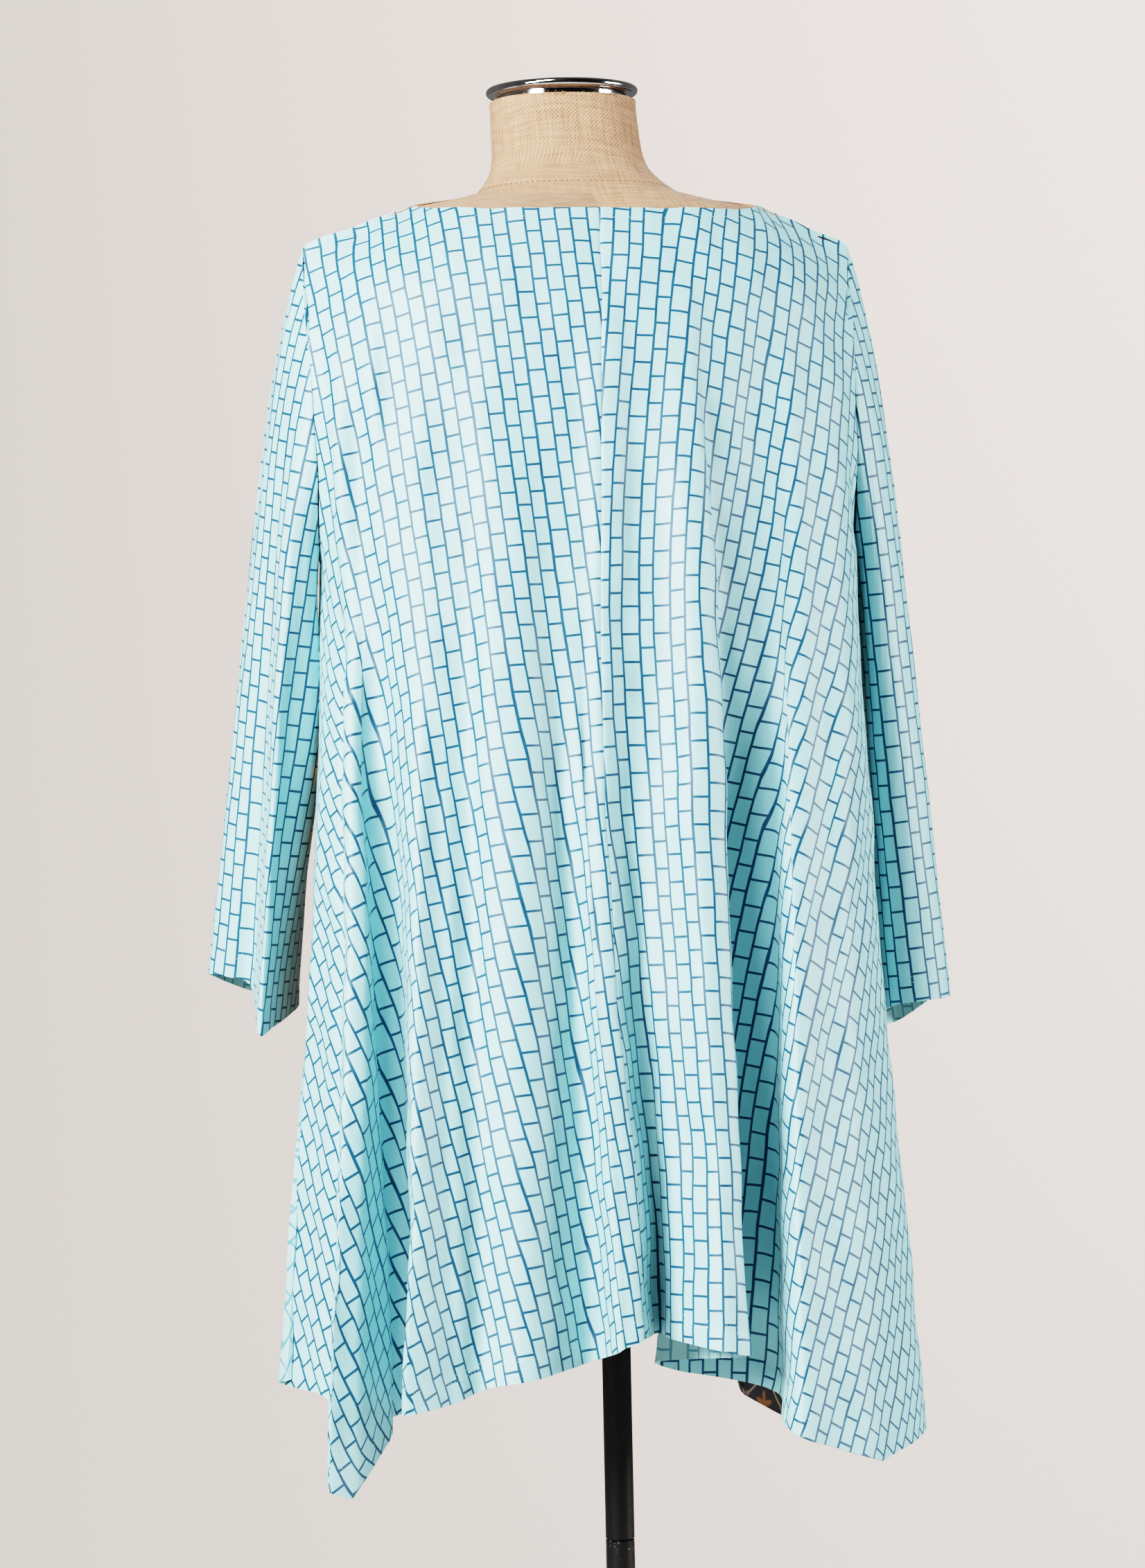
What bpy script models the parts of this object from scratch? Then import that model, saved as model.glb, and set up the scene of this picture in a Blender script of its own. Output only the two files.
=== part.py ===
"""Loose tunic top with pointed side hems, worn by a limbless dress form on a round-based pole.

Frame: metres, +Z up, origin on the floor under the pole. The garment's front faces +Y and its
back faces -Y, so the wearer's right is at +X. The tables hold millimetres, as a maker would.

The cloth is one closed wall from neckline to hem. It is worked out as rings around the body: the
rows of BODY_ROWS give the plain rings, and each line of BACK_FOLDS and FRONT_FOLDS pulls a ring
outwards or inwards along one fold that hangs from the shoulders down to its own point of the hem.
"""

import math
from typing import NamedTuple

import bpy
import numpy as np

MM = 0.001
CLOTH_THICKNESS = 1.3
SEAM_GAP = 0.3
FORM_OFFSET_X = -5.5

ROWS_BELOW_UNDERARM = 7
STEPS_BETWEEN_FOLDS = 3
SLEEVE_ROWS = 11
SLEEVE_COLUMNS_BETWEEN_FOLDS = 3

POLE_RADIUS = 11.0
POLE_JOINT_HEIGHT = 412.0
POLE_GAP = 0.3
BASE_RADIUS = 170.0
BASE_THICKNESS = 9.0
BASE_EDGE_RADIUS = 3.0
BASE_SOCKET_RADIUS = 19.0
BASE_SOCKET_HEIGHT = 34.0
ROUND_SIDES = 32


class Row(NamedTuple):
    """One plain ring of the cloth, drop millimetres below the neckline.

    gap_back and gap_front part the back and the front at their common seam, for the armhole.
    turn is how far round the panels wrap towards that seam, in degrees.
    """

    name: str
    drop: float
    x_shift: float
    half_width: float
    y_back: float
    y_seam: float
    gap_back: float
    gap_front: float
    y_front: float
    z_back: float
    z_seam: float
    z_front: float
    turn: float


BODY_ROWS = [
    #    name         drop  x  half back seam g.b g.f front z.back z.seam z.front turn
    Row("neckline", 0, 4, 134, -45, 14, 0, 0, 92, 1425, 1435, 1386, 76),
    Row("yoke", 33, 2, 174, -61, 23, 0, 0, 106, 1393, 1420, 1351, 72),
    Row("shoulder", 70, -1, 214, -75, 30, 0, 0, 120, 1353, 1400, 1312, 66),
    Row("armhole_high", 120, -4, 212, -84, 30, 30, 34, 132, 1301, 1338, 1268, 60),
    Row("armhole_mid", 185, -3, 210, -92, 30, 43, 46, 142, 1236, 1256, 1222, 60),
    Row("armhole_low", 240, -1, 208, -98, 30, 28, 30, 148, 1181, 1184, 1176, 70),
    Row("underarm", 275, 0, 208, -102, 30, 0, 0, 150, 1146, 1146, 1146, 88),
    Row("hem", 860, 0, 238, -150, 40, 0, 0, 158, 582, 520, 575, 90),
]
SHOULDER_DROP = 70.0
UNDERARM_DROP = 275.0
HEM_DROP = 860.0
FOLD_TOP_DROP = 120.0
FOLD_EASE = 0.09
RING_POWER = 0.82
SEAM_RISE_POWER = 2.6


class Fold(NamedTuple):
    """One line down the cloth: where it hangs from, and where it ends at the hem."""

    name: str
    top_x: float
    start_z: float
    hem_x: float
    hem_y: float
    hem_z: float


BACK_FOLDS = [
    #    name               top x   start  hem x  hem y  hem z
    Fold("left_side_seam", -209, 1150, -240, 62, 539),
    Fold("left_strip", -206, 1140, -223, 20, 531),
    Fold("left_hidden_valley", -203, 1180, -201, -24, 517),
    Fold("left_corner_turn", -199, 1290, -232, -110, 493),
    Fold("left_corner_crest", -193, 1340, -217, -147, 475),
    Fold("left_corner_valley", -180, 1360, -178, -74, 523),
    Fold("left_under_valley", -166, 1330, -156, -92, 530),
    Fold("left_panel_edge", -156, 1320, -173, -141, 537),
    Fold("left_panel_crest", -134, 1300, -144, -160, 543),
    Fold("left_small_valley", -106, 1080, -119, -150, 551),
    Fold("left_panel_second", -90, 1240, -102, -170, 557),
    Fold("left_middle_valley", -68, 1340, -60, -138, 563),
    Fold("left_centre_crest", -34, 1250, -40, -182, 579),
    Fold("centre_back", 2, 1280, 0, -175, 586),
    Fold("centre_valley", 12, 1120, -4, -130, 584),
    Fold("right_first_crest", 26, 1160, 22, -170, 581),
    Fold("right_main_crest", 52, 1330, 52, -198, 576),
    Fold("right_crest_edge", 68, 1360, 72, -182, 571),
    Fold("right_under_edge", 80, 1350, 16, -117, 562),
    Fold("right_valley", 92, 1360, 104, -106, 534),
    Fold("right_panel_edge", 112, 1340, 98, -166, 521),
    Fold("right_panel_crest", 130, 1330, 104, -198, 513),
    Fold("right_panel_middle", 158, 1200, 131, -190, 504),
    Fold("right_corner_crest", 186, 1290, 172, -168, 488),
    Fold("right_side_edge", 200, 1180, 228, -82, 500),
    Fold("right_side_valley", 206, 1150, 218, -18, 512),
    Fold("right_side_seam", 209, 1150, 233, 36, 528),
]
FRONT_FOLDS = [
    #    name                top x   start  hem x  hem y  hem z
    Fold("right_side_seam", 209, 1150, 233, 36, 528),
    Fold("right_front_bulge", 204, 1180, 228, 98, 506),
    Fold("right_front_corner", 190, 1250, 197, 142, 470),
    Fold("right_front_valley", 168, 1240, 164, 108, 482),
    Fold("right_front_crest", 138, 1280, 136, 158, 498),
    Fold("right_front_edge", 114, 1230, 121, 126, 524),
    Fold("right_centre_crest", 80, 1250, 90, 180, 552),
    Fold("centre_right_valley", 42, 1180, 46, 134, 568),
    Fold("centre_crest", 6, 1240, 4, 178, 577),
    Fold("centre_left_valley", -34, 1200, -36, 136, 574),
    Fold("left_centre_crest", -68, 1270, -72, 186, 566),
    Fold("left_front_valley", -100, 1240, -100, 128, 548),
    Fold("left_front_crest", -130, 1260, -130, 170, 520),
    Fold("left_front_corner", -160, 1250, -172, 158, 491),
    Fold("left_front_dip", -180, 1220, -180, 118, 513),
    Fold("left_front_bulge", -202, 1180, -221, 112, 531),
    Fold("left_side_seam", -209, 1150, -240, 62, 539),
]


class SleeveFold(NamedTuple):
    """One line down a sleeve, from the armhole ring to the cuff."""

    name: str
    face: str
    drop: float
    lead: float
    cuff_x: float
    cuff_y: float
    cuff_z: float


LEFT_SLEEVE_FOLDS = [
    #          name           face  drop  lead  cuff x  y    z
    SleeveFold("outer", "back", 70, 13, -289, 118, 848),
    SleeveFold("back_flank", "back", 96, 18, -276, 96, 846),
    SleeveFold("back_crease", "back", 132, 17, -259, 90, 838),
    SleeveFold("back_crest", "back", 176, 16, -259, 44, 804),
    SleeveFold("back_turn", "back", 212, 10, -246, 62, 808),
    SleeveFold("back_inner", "back", 248, 6, -231, 90, 815),
    SleeveFold("underarm", "back", 275, 5, -218, 128, 822),
    SleeveFold("front_inner", "front", 240, 8, -226, 162, 826),
    SleeveFold("front_edge", "front", 196, 12, -246, 182, 830),
    SleeveFold("front_flank", "front", 146, 16, -268, 170, 838),
    SleeveFold("front_outer", "front", 100, 19, -283, 146, 845),
]
RIGHT_SLEEVE_FOLDS = [
    SleeveFold("outer", "back", 70, 15, 288, 60, 824),
    SleeveFold("back_corner", "back", 98, 19, 280, 26, 818),
    SleeveFold("back_flank", "back", 136, 16, 258, 13, 816),
    SleeveFold("back_turn", "back", 178, 11, 236, 18, 813),
    SleeveFold("back_inner", "back", 216, 6, 229, 42, 806),
    SleeveFold("inner_crest", "back", 250, 5, 230, 72, 795),
    SleeveFold("underarm", "back", 275, 4, 234, 102, 794),
    SleeveFold("front_inner", "front", 240, 8, 250, 132, 792),
    SleeveFold("front_edge", "front", 196, 12, 268, 142, 794),
    SleeveFold("front_flank", "front", 146, 16, 281, 120, 806),
    SleeveFold("front_outer", "front", 100, 19, 288, 90, 818),
]
SLEEVE_FALL_POWER = 9.0


class FormRow(NamedTuple):
    """One ring of the dress form. z_side lifts or drops the ring's ends from its front and back."""

    name: str
    half_width: float
    x_centre: float
    y_back: float
    y_front: float
    z_back: float
    z_side: float
    z_front: float


NECK_ROWS = [
    #       name     half  x    back front z.back z.side z.front
    FormRow("top", 56.0, -6.5, 0, 112, 1519, 1519, 1519),
    FormRow("upper", 56.5, -5.5, -1, 112, 1500, 1500, 1500),
    FormRow("lower", 60.0, -3.5, -6, 108, 1470, 1468, 1460),
    FormRow("base", 76.0, -1, -20, 96, 1449, 1447, 1426),
    FormRow("slope", 90.0, 0, -28, 74, 1438, 1441, 1411),
]
TORSO_ROWS = [
    #       name           half   x  back front z.back z.side z.front
    FormRow("shoulder_end", 191.0, 0, -68, 112, 1318, 1376, 1280),
    FormRow("chest", 182.0, 0, -76, 120, 1262, 1296, 1236),
    FormRow("bust", 166.0, 0, -82, 130, 1182, 1192, 1182),
    FormRow("under_bust", 150.0, 0, -76, 108, 1100, 1100, 1100),
    FormRow("waist", 132.0, 0, -68, 90, 1010, 1010, 1010),
    FormRow("upper_hip", 150.0, 0, -80, 96, 920, 920, 920),
    FormRow("hip", 164.0, 0, -88, 98, 830, 830, 830),
    FormRow("bottom", 158.0, 0, -84, 92, 745, 745, 745),
]
RESTING_DROPS = (0.0, 20.0, 40.0, 58.0)
RESTING_GAP = 0.9
FORM_SHOULDER_NARROWING = 0.07
FORM_RING_POWER = 0.86
FORM_ROW_STEPS = 2
FORM_COLUMNS = 32

CAP_COLLAR_RADIUS = 50.0
CAP_COLLAR_HEIGHT = 5.0
CAP_RADIUS = 59.0
CAP_RIM_HEIGHT = 6.0
CAP_DOME_HEIGHT = 4.0


def monotone_curve(at, knots, values):
    """Smooth curve through values at knots that never overshoots them. values is (knots, ...)."""
    knots = np.asarray(knots, float)
    values = np.asarray(values, float)
    widths = np.diff(knots).reshape(-1, *[1] * (values.ndim - 1))
    slopes = np.diff(values, axis=0) / widths
    tangents = np.concatenate([slopes[:1], (slopes[1:] + slopes[:-1]) / 2, slopes[-1:]])
    turning = slopes[1:] * slopes[:-1] <= 0
    tangents[1:-1][turning] = 0
    limit = 3 * np.minimum(np.abs(slopes[1:]), np.abs(slopes[:-1]))
    tangents[1:-1] = np.clip(tangents[1:-1], -limit, limit)
    return hermite(at, knots, values, tangents)


def flowing_curve(at, knots, values):
    """Smooth curve through values at knots that rounds over each crest and valley."""
    knots = np.asarray(knots, float)
    values = np.asarray(values, float)
    widths = np.diff(knots).reshape(-1, *[1] * (values.ndim - 1))
    slopes = np.diff(values, axis=0) / widths
    inner = (slopes[1:] * widths[:-1] + slopes[:-1] * widths[1:]) / (widths[1:] + widths[:-1])
    return hermite(at, knots, values, np.concatenate([slopes[:1], inner, slopes[-1:]]))


def hermite(at, knots, values, tangents):
    """Cubic pieces between knots with the given values and slopes."""
    at = np.asarray(at, float)
    piece = np.clip(np.searchsorted(knots, at, side="right") - 1, 0, len(knots) - 2)
    extra = [1] * (values.ndim - 1)
    width = (knots[piece + 1] - knots[piece]).reshape(*at.shape, *extra)
    s = ((at - knots[piece]).reshape(*at.shape, *extra)) / width
    start = values[piece] * (2 * s**3 - 3 * s**2 + 1) + tangents[piece] * width * (s**3 - 2 * s**2 + s)
    end = values[piece + 1] * (3 * s**2 - 2 * s**3) + tangents[piece + 1] * width * (s**3 - s**2)
    return start + end


def row_values(drops):
    """The plain ring's sizes at each drop below the neckline, as a dict of arrays."""
    numbers = [row[1:] for row in BODY_ROWS]
    table = monotone_curve(drops, [row.drop for row in BODY_ROWS], numbers)
    return {name: table[:, i] for i, name in enumerate(Row._fields[1:])}


def plain_ring(row, across, front):
    """x and y of the plain cloth. across is -1 at the left seam, 0 at the centre, 1 at the right."""
    turn = np.radians(row["turn"])[:, None]
    angle = np.abs(across)[None, :] * turn
    gap = row["gap_front"] if front else -row["gap_back"]
    seam = (row["y_seam"] + gap)[:, None]
    centre = row["y_front" if front else "y_back"][:, None]
    wide = (np.sin(angle) / np.sin(turn)) ** RING_POWER
    ends = np.cos(turn) ** RING_POWER
    deep = (np.cos(angle) ** RING_POWER - ends) / (1 - ends)
    x = row["x_shift"][:, None] + np.sign(across) * row["half_width"][:, None] * wide
    return x, seam + (centre - seam) * deep


def fold_places(folds, front):
    """Where each fold stands across the cloth, from its x at the height it hangs from."""
    row = row_values(np.array([FOLD_TOP_DROP]))
    across = np.linspace(-1, 1, 801)
    x = plain_ring(row, across, front)[0][0]
    places = np.interp([fold.top_x for fold in folds], x, across)
    places[0], places[-1] = -1, 1
    return places


def cloth_points(across, drops, front):
    """Outer points of the back or front, as (drops, across, 3), in millimetres."""
    folds = FRONT_FOLDS[::-1] if front else BACK_FOLDS
    row = row_values(drops)
    x, y = plain_ring(row, across, front)
    places = fold_places(folds, front)
    rise = np.abs(across) ** SEAM_RISE_POWER
    centre = row["z_front" if front else "z_back"][:, None]
    z = centre + (row["z_seam"][:, None] - centre) * rise
    hem_z = np.interp(across, places, [fold.hem_z for fold in folds])
    underarm = row_values(np.array([UNDERARM_DROP]))["z_seam"][0]
    fall = np.clip((drops - UNDERARM_DROP) / (HEM_DROP - UNDERARM_DROP), 0, 1)[:, None]
    z = np.where(fall > 0, underarm + (hem_z - underarm) * fall, z)

    hem_row = row_values(np.array([HEM_DROP]))
    hem_x, hem_y = plain_ring(hem_row, places, front)
    pull = np.stack([[f.hem_x for f in folds] - hem_x[0], [f.hem_y for f in folds] - hem_y[0]], -1)
    start = np.array([fold.start_z for fold in folds])
    line_z = np.stack([np.interp(places, across, level) for level in z])
    end = np.array([fold.hem_z for fold in folds])
    fallen = np.clip((start - line_z) / (start - end), 0, 1)
    share = (1 + FOLD_EASE) * fallen**2 / (fallen + FOLD_EASE)
    moved = flowing_curve(across, places, np.moveaxis(share[:, :, None] * pull, 0, 1))
    moved = np.moveaxis(moved, 0, 1)
    return np.stack([x + moved[..., 0], y + moved[..., 1], z], -1)


def columns_between(places, steps):
    """The fold places with evenly spaced columns added between each pair."""
    spread = [np.linspace(a, b, steps, endpoint=False) for a, b in zip(places, places[1:])]
    return np.append(np.concatenate(spread), places[-1])


def drop_levels():
    """The drops of the mesh's rows, with one at the shoulder end and one at the underarm."""
    above = [0, 16, 33, 52, SHOULDER_DROP, 92, 120, 152, 185, 214, 242]
    below = np.linspace(UNDERARM_DROP, HEM_DROP, ROWS_BELOW_UNDERARM + 1)
    return np.concatenate([above, below])


def grid_normals(points, closed):
    """Unit normals of a grid of points; closed grids join their last column to their first."""
    if closed:
        across = np.roll(points, -1, 1) - np.roll(points, 1, 1)
    else:
        across = np.gradient(points, axis=1)
    normals = np.cross(across, np.gradient(points, axis=0))
    return normals / np.linalg.norm(normals, axis=2, keepdims=True)


def trimmed(points, normals, first, last):
    """Columns first to last, drawn in by half a seam gap at each cut side."""
    panel = points[:, first : last + 1].copy()
    normals = normals[:, first : last + 1]
    for end, inner in ((0, 1), (-1, -2)):
        inwards = np.cross(np.gradient(panel[:, end], axis=0), normals[:, end])
        inwards /= np.linalg.norm(inwards, axis=1, keepdims=True)
        inwards *= np.sign((inwards * (panel[:, inner] - panel[:, end])).sum())
        panel[:, end] += inwards * SEAM_GAP / 2
    return panel, normals


def wall_mesh(outer, normals, closed):
    """A closed wall: outer points, inner points along the normals, and rims at each open edge."""
    rows, columns = outer.shape[:2]
    inner = outer - normals * CLOTH_THICKNESS
    points = np.concatenate([outer.reshape(-1, 3), inner.reshape(-1, 3)]) * MM
    index = np.arange(rows * columns).reshape(rows, columns)
    back = rows * columns
    joined = np.concatenate([index, index[:, :1]], 1) if closed else index
    a, b, c, d = joined[:-1, :-1], joined[:-1, 1:], joined[1:, 1:], joined[1:, :-1]
    faces = [np.stack([a, d, c, b], -1).reshape(-1, 4)]
    faces.append(np.stack([a, b, c, d], -1).reshape(-1, 4) + back)
    rims = [joined[0], joined[-1][::-1]]
    if not closed:
        rims += [index[:, -1], index[::-1, 0]]
    for rim in rims:
        faces.append(np.stack([rim[:-1], rim[1:], rim[1:] + back, rim[:-1] + back], -1))
    return points, np.concatenate(faces)


def add_material(piece, name, colour, roughness, metallic=0.0):
    """Gives the piece its own Principled material."""
    material = bpy.data.materials.new(name)
    material.use_nodes = True
    shader = material.node_tree.nodes["Principled BSDF"]
    shader.inputs["Base Color"].default_value = (*colour, 1)
    shader.inputs["Roughness"].default_value = roughness
    shader.inputs["Metallic"].default_value = metallic
    piece.data.materials.append(material)


def add_mesh(name, points, faces, parent):
    """A smooth-shaded object with its faces turned outwards."""
    mesh = bpy.data.meshes.new(name)
    mesh.from_pydata(points.tolist(), [], faces.tolist())
    mesh.shade_smooth()
    mesh.set_sharp_from_angle(angle=math.radians(50))
    piece = bpy.data.objects.new(name, mesh)
    piece.parent = parent
    bpy.context.scene.collection.objects.link(piece)
    return piece


def seam_normals(back, front):
    """Gives back and front the same normals where their side columns meet."""
    for level, drop in enumerate(drop_levels()):
        if SHOULDER_DROP < drop < UNDERARM_DROP:
            continue
        for end in (0, -1):
            shared = back[level, end] + front[level, end]
            back[level, end] = front[level, end] = shared / np.linalg.norm(shared)


def build_body(parent):
    """The two half backs and the front, from one set of rings."""
    drops = drop_levels()
    back_across = columns_between(fold_places(BACK_FOLDS, False), STEPS_BETWEEN_FOLDS)
    front_across = columns_between(fold_places(FRONT_FOLDS[::-1], True), STEPS_BETWEEN_FOLDS)
    back = cloth_points(back_across, drops, False)
    front = cloth_points(front_across, drops, True)
    back_normals = grid_normals(back, False)
    front_normals = -grid_normals(front, False)
    back_normals *= np.sign(-back_normals[:, back.shape[1] // 2, 1].mean())
    front_normals *= np.sign(front_normals[:, front.shape[1] // 2, 1].mean())
    seam_normals(back_normals, front_normals)
    centre = [fold.name for fold in BACK_FOLDS].index("centre_back") * STEPS_BETWEEN_FOLDS
    last = back.shape[1] - 1
    aqua = (0.46, 0.72, 0.74)
    for name, first, end in (("back_left", 0, centre), ("back_right", centre, last)):
        panel, normals = trimmed(back, back_normals, first, end)
        piece = add_mesh(name, *wall_mesh(panel, normals, False), parent)
        add_material(piece, name, aqua, 0.75)
    panel, normals = trimmed(front, front_normals, 0, front.shape[1] - 1)
    points, faces = wall_mesh(panel, normals, False)
    piece = add_mesh("front", points, faces[:, ::-1], parent)
    add_material(piece, "front", (0.03, 0.03, 0.035), 0.75)


def armhole_point(fold, side):
    """Where a sleeve line leaves the armhole."""
    across = np.array([0.9 * side, side])
    return cloth_points(across, np.array([fold.drop]), fold.face == "front")[0, 1]


def sleeve_points(folds, side):
    """Outer points of a sleeve, as (rows, columns, 3), in millimetres."""
    starts = np.array([armhole_point(fold, side) for fold in folds])
    starts[:, 0] += side * SEAM_GAP
    cuffs = np.array([fold[4:] for fold in folds], float)
    leads = np.array([fold.lead for fold in folds])
    count = len(folds)
    knots = np.arange(-2, count + 3)
    around = np.arange(count * SLEEVE_COLUMNS_BETWEEN_FOLDS) / SLEEVE_COLUMNS_BETWEEN_FOLDS
    start, cuff, lead = (flowing_curve(around, knots, v[knots % count]) for v in (starts, cuffs, leads))
    down = np.linspace(0, 1, SLEEVE_ROWS)[:, None, None] ** 1.35
    outwards = np.zeros_like(start)
    outwards[:, 0] = side * lead
    return start + (cuff - start - outwards) * down + outwards * (1 - (1 - down) ** SLEEVE_FALL_POWER)


def build_sleeve(name, folds, side, parent):
    """A closed tube from the armhole to the cuff, open at both ends."""
    outer = sleeve_points(folds, side)
    normals = grid_normals(outer, True)
    middle = outer.mean(1, keepdims=True)
    if (normals * (outer - middle)).sum() < 0:
        normals = -normals
    normals[0, :, 0] = 0
    normals[0] /= np.linalg.norm(normals[0], axis=1, keepdims=True)
    points, faces = wall_mesh(outer, normals, True)
    if side > 0:
        faces = faces[:, ::-1]
    piece = add_mesh(name, points, faces, parent)
    add_material(piece, name, (0.46, 0.72, 0.74), 0.75)


def table_rings(form_rows, angle):
    """Rings of the dress form from a table, with rows added between the table's own."""
    count = len(form_rows)
    at = np.linspace(0, count - 1, (count - 1) * FORM_ROW_STEPS + 1)
    table = monotone_curve(at, np.arange(count), [row[1:] for row in form_rows])
    half, middle, back, front, z_back, z_side, z_front = table.T[:, :, None]
    sine, cosine = np.sin(angle), np.cos(angle)
    wide = np.sign(sine) * np.abs(sine) ** FORM_RING_POWER
    deep = np.sign(cosine) * np.abs(cosine) ** FORM_RING_POWER
    centre = np.where(cosine > 0, z_back, z_front)
    z = centre + (z_side - centre) * np.abs(sine) ** 3
    return np.stack([middle + half * wide, (back + front) / 2 - (front - back) / 2 * deep, z], -1)


def resting_rings(angle):
    """Rings of the form's shoulders: the cloth's own rings, drawn in until they just clear it."""
    drops = np.array(RESTING_DROPS)
    across = np.arcsin(np.sin(angle)) / (math.pi / 2)
    order = np.argsort(across)
    on_back = np.cos(angle[order]) > 0
    rings = np.empty((len(drops), len(angle), 3))
    for front in (False, True):
        chosen = on_back != front
        rings[:, order[chosen]] = cloth_points(across[order], drops, front)[:, chosen]
    normals = grid_normals(rings, True)
    normals *= np.sign(normals[..., 2].mean())
    rings -= normals * (CLOTH_THICKNESS + RESTING_GAP)
    rings[..., 0] *= (1 - FORM_SHOULDER_NARROWING * drops / SHOULDER_DROP)[:, None]
    return rings


def form_points():
    """Outer points of the dress form, as (rows, columns, 3), in millimetres."""
    angle = np.linspace(0, 2 * math.pi, FORM_COLUMNS, endpoint=False)
    neck = table_rings(NECK_ROWS, angle)
    torso = table_rings(TORSO_ROWS, angle)
    return np.concatenate([neck, resting_rings(angle), torso])


def build_form(parent):
    """The closed, linen-covered torso."""
    rings = form_points()
    rows, columns = rings.shape[:2]
    index = np.arange(rows * columns).reshape(rows, columns)
    joined = np.concatenate([index, index[:, :1]], 1)
    a, b, c, d = joined[:-1, :-1], joined[:-1, 1:], joined[1:, 1:], joined[1:, :-1]
    faces = np.stack([a, d, c, b], -1).reshape(-1, 4).tolist()
    faces += [index[0].tolist(), index[-1][::-1].tolist()]
    mesh = bpy.data.meshes.new("form_torso")
    mesh.from_pydata((rings.reshape(-1, 3) * MM).tolist(), [], faces)
    mesh.shade_smooth()
    mesh.set_sharp_from_angle(angle=math.radians(50))
    piece = bpy.data.objects.new("form_torso", mesh)
    piece.parent = parent
    bpy.context.scene.collection.objects.link(piece)
    add_material(piece, "form_torso", (0.52, 0.43, 0.32), 0.9)


def add_turned(name, profile, x, y, parent):
    """A solid turned about a vertical axis from (radius, height) pairs, top to bottom."""
    angle = np.linspace(0, 2 * math.pi, ROUND_SIDES, endpoint=False)
    rings = [
        np.stack([x + r * np.cos(angle), y + r * np.sin(angle), np.full(ROUND_SIDES, z)], -1)
        for r, z in profile
    ]
    points = np.concatenate(rings) * MM
    index = np.arange(len(points)).reshape(len(profile), ROUND_SIDES)
    joined = np.concatenate([index, index[:, :1]], 1)
    a, b, c, d = joined[:-1, :-1], joined[:-1, 1:], joined[1:, 1:], joined[1:, :-1]
    faces = np.stack([a, d, c, b], -1).reshape(-1, 4).tolist()
    faces += [index[0].tolist(), index[-1][::-1].tolist()]
    mesh = bpy.data.meshes.new(name)
    mesh.from_pydata(points.tolist(), [], faces)
    mesh.shade_smooth()
    mesh.set_sharp_from_angle(angle=math.radians(35))
    piece = bpy.data.objects.new(name, mesh)
    piece.parent = parent
    bpy.context.scene.collection.objects.link(piece)
    return piece


def rounded_rim(radius, low, high, bulge, steps=5):
    """Profile points of a half-round rim from its top edge to its bottom edge."""
    middle, half = (low + high) / 2, (high - low) / 2
    angles = np.linspace(math.pi / 2, -math.pi / 2, steps)
    return [(radius - bulge + bulge * math.cos(a), middle + half * math.sin(a)) for a in angles]


def build_cap(parent):
    """The polished cap: a thin flange with a rounded rim on a narrower collar."""
    neck = NECK_ROWS[0]
    collar_low = neck.z_back + SEAM_GAP
    rim_low = collar_low + CAP_COLLAR_HEIGHT
    rim_high = rim_low + CAP_RIM_HEIGHT
    dome = [(CAP_RADIUS * 0.3, rim_high + CAP_DOME_HEIGHT), (CAP_RADIUS * 0.7, rim_high + CAP_DOME_HEIGHT * 0.6)]
    rim = rounded_rim(CAP_RADIUS, rim_low, rim_high, CAP_RIM_HEIGHT / 2)
    collar = [(CAP_COLLAR_RADIUS, rim_low), (CAP_COLLAR_RADIUS, collar_low)]
    piece = add_turned("neck_cap", dome + rim + collar, neck.x_centre, (neck.y_back + neck.y_front) / 2, parent)
    add_material(piece, "neck_cap", (0.7, 0.7, 0.7), 0.12, 1.0)


def build_stand():
    """The pole's two tubes and the round base."""
    form_bottom = TORSO_ROWS[-1].z_back
    socket_top = BASE_THICKNESS + BASE_SOCKET_HEIGHT
    upper = [(POLE_RADIUS, form_bottom - POLE_GAP), (POLE_RADIUS, POLE_JOINT_HEIGHT + POLE_GAP)]
    lower = [(POLE_RADIUS, POLE_JOINT_HEIGHT), (POLE_RADIUS, socket_top + POLE_GAP)]
    for name, profile in (("pole_upper", upper), ("pole_lower", lower)):
        piece = add_turned(name, profile, 0, 0, None)
        add_material(piece, name, (0.012, 0.012, 0.013), 0.3)
    edge = BASE_EDGE_RADIUS
    profile = [
        (BASE_SOCKET_RADIUS - edge, socket_top),
        (BASE_SOCKET_RADIUS, socket_top - edge),
        (BASE_SOCKET_RADIUS, BASE_THICKNESS),
        (BASE_RADIUS - edge, BASE_THICKNESS),
        (BASE_RADIUS, BASE_THICKNESS - edge),
        (BASE_RADIUS, 0),
    ]
    piece = add_turned("base", profile, 0, 0, None)
    add_material(piece, "base", (0.012, 0.012, 0.013), 0.35)


def main():
    """Clears the scene and builds the tunic, the form and its stand."""
    for item in list(bpy.data.objects):
        bpy.data.objects.remove(item)
    worn = bpy.data.objects.new("worn_frame", None)
    worn.location = (FORM_OFFSET_X * MM, 0, 0)
    bpy.context.scene.collection.objects.link(worn)
    build_body(worn)
    build_sleeve("sleeve_left", LEFT_SLEEVE_FOLDS, -1, worn)
    build_sleeve("sleeve_right", RIGHT_SLEEVE_FOLDS, 1, worn)
    build_form(worn)
    build_cap(worn)
    build_stand()


main()
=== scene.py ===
"""Loose printed tunic top worn by a linen-covered dress form: the finished look.

Frame: metres, +Z up, origin on the floor under the pole. The garment's front faces +Y and its back
faces -Y, so the wearer's right is at +X. The tables hold millimetres, as a maker would.

The cloth is worked out as rings around the body. The rows of BODY_ROWS give the plain rings, and
each line of BACK_FOLDS and FRONT_FOLDS pulls a ring outwards or inwards along one fold. Each piece
of cloth is then laid flat, so that its print lies on it as it was printed before it was cut.
"""

from __future__ import annotations

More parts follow.
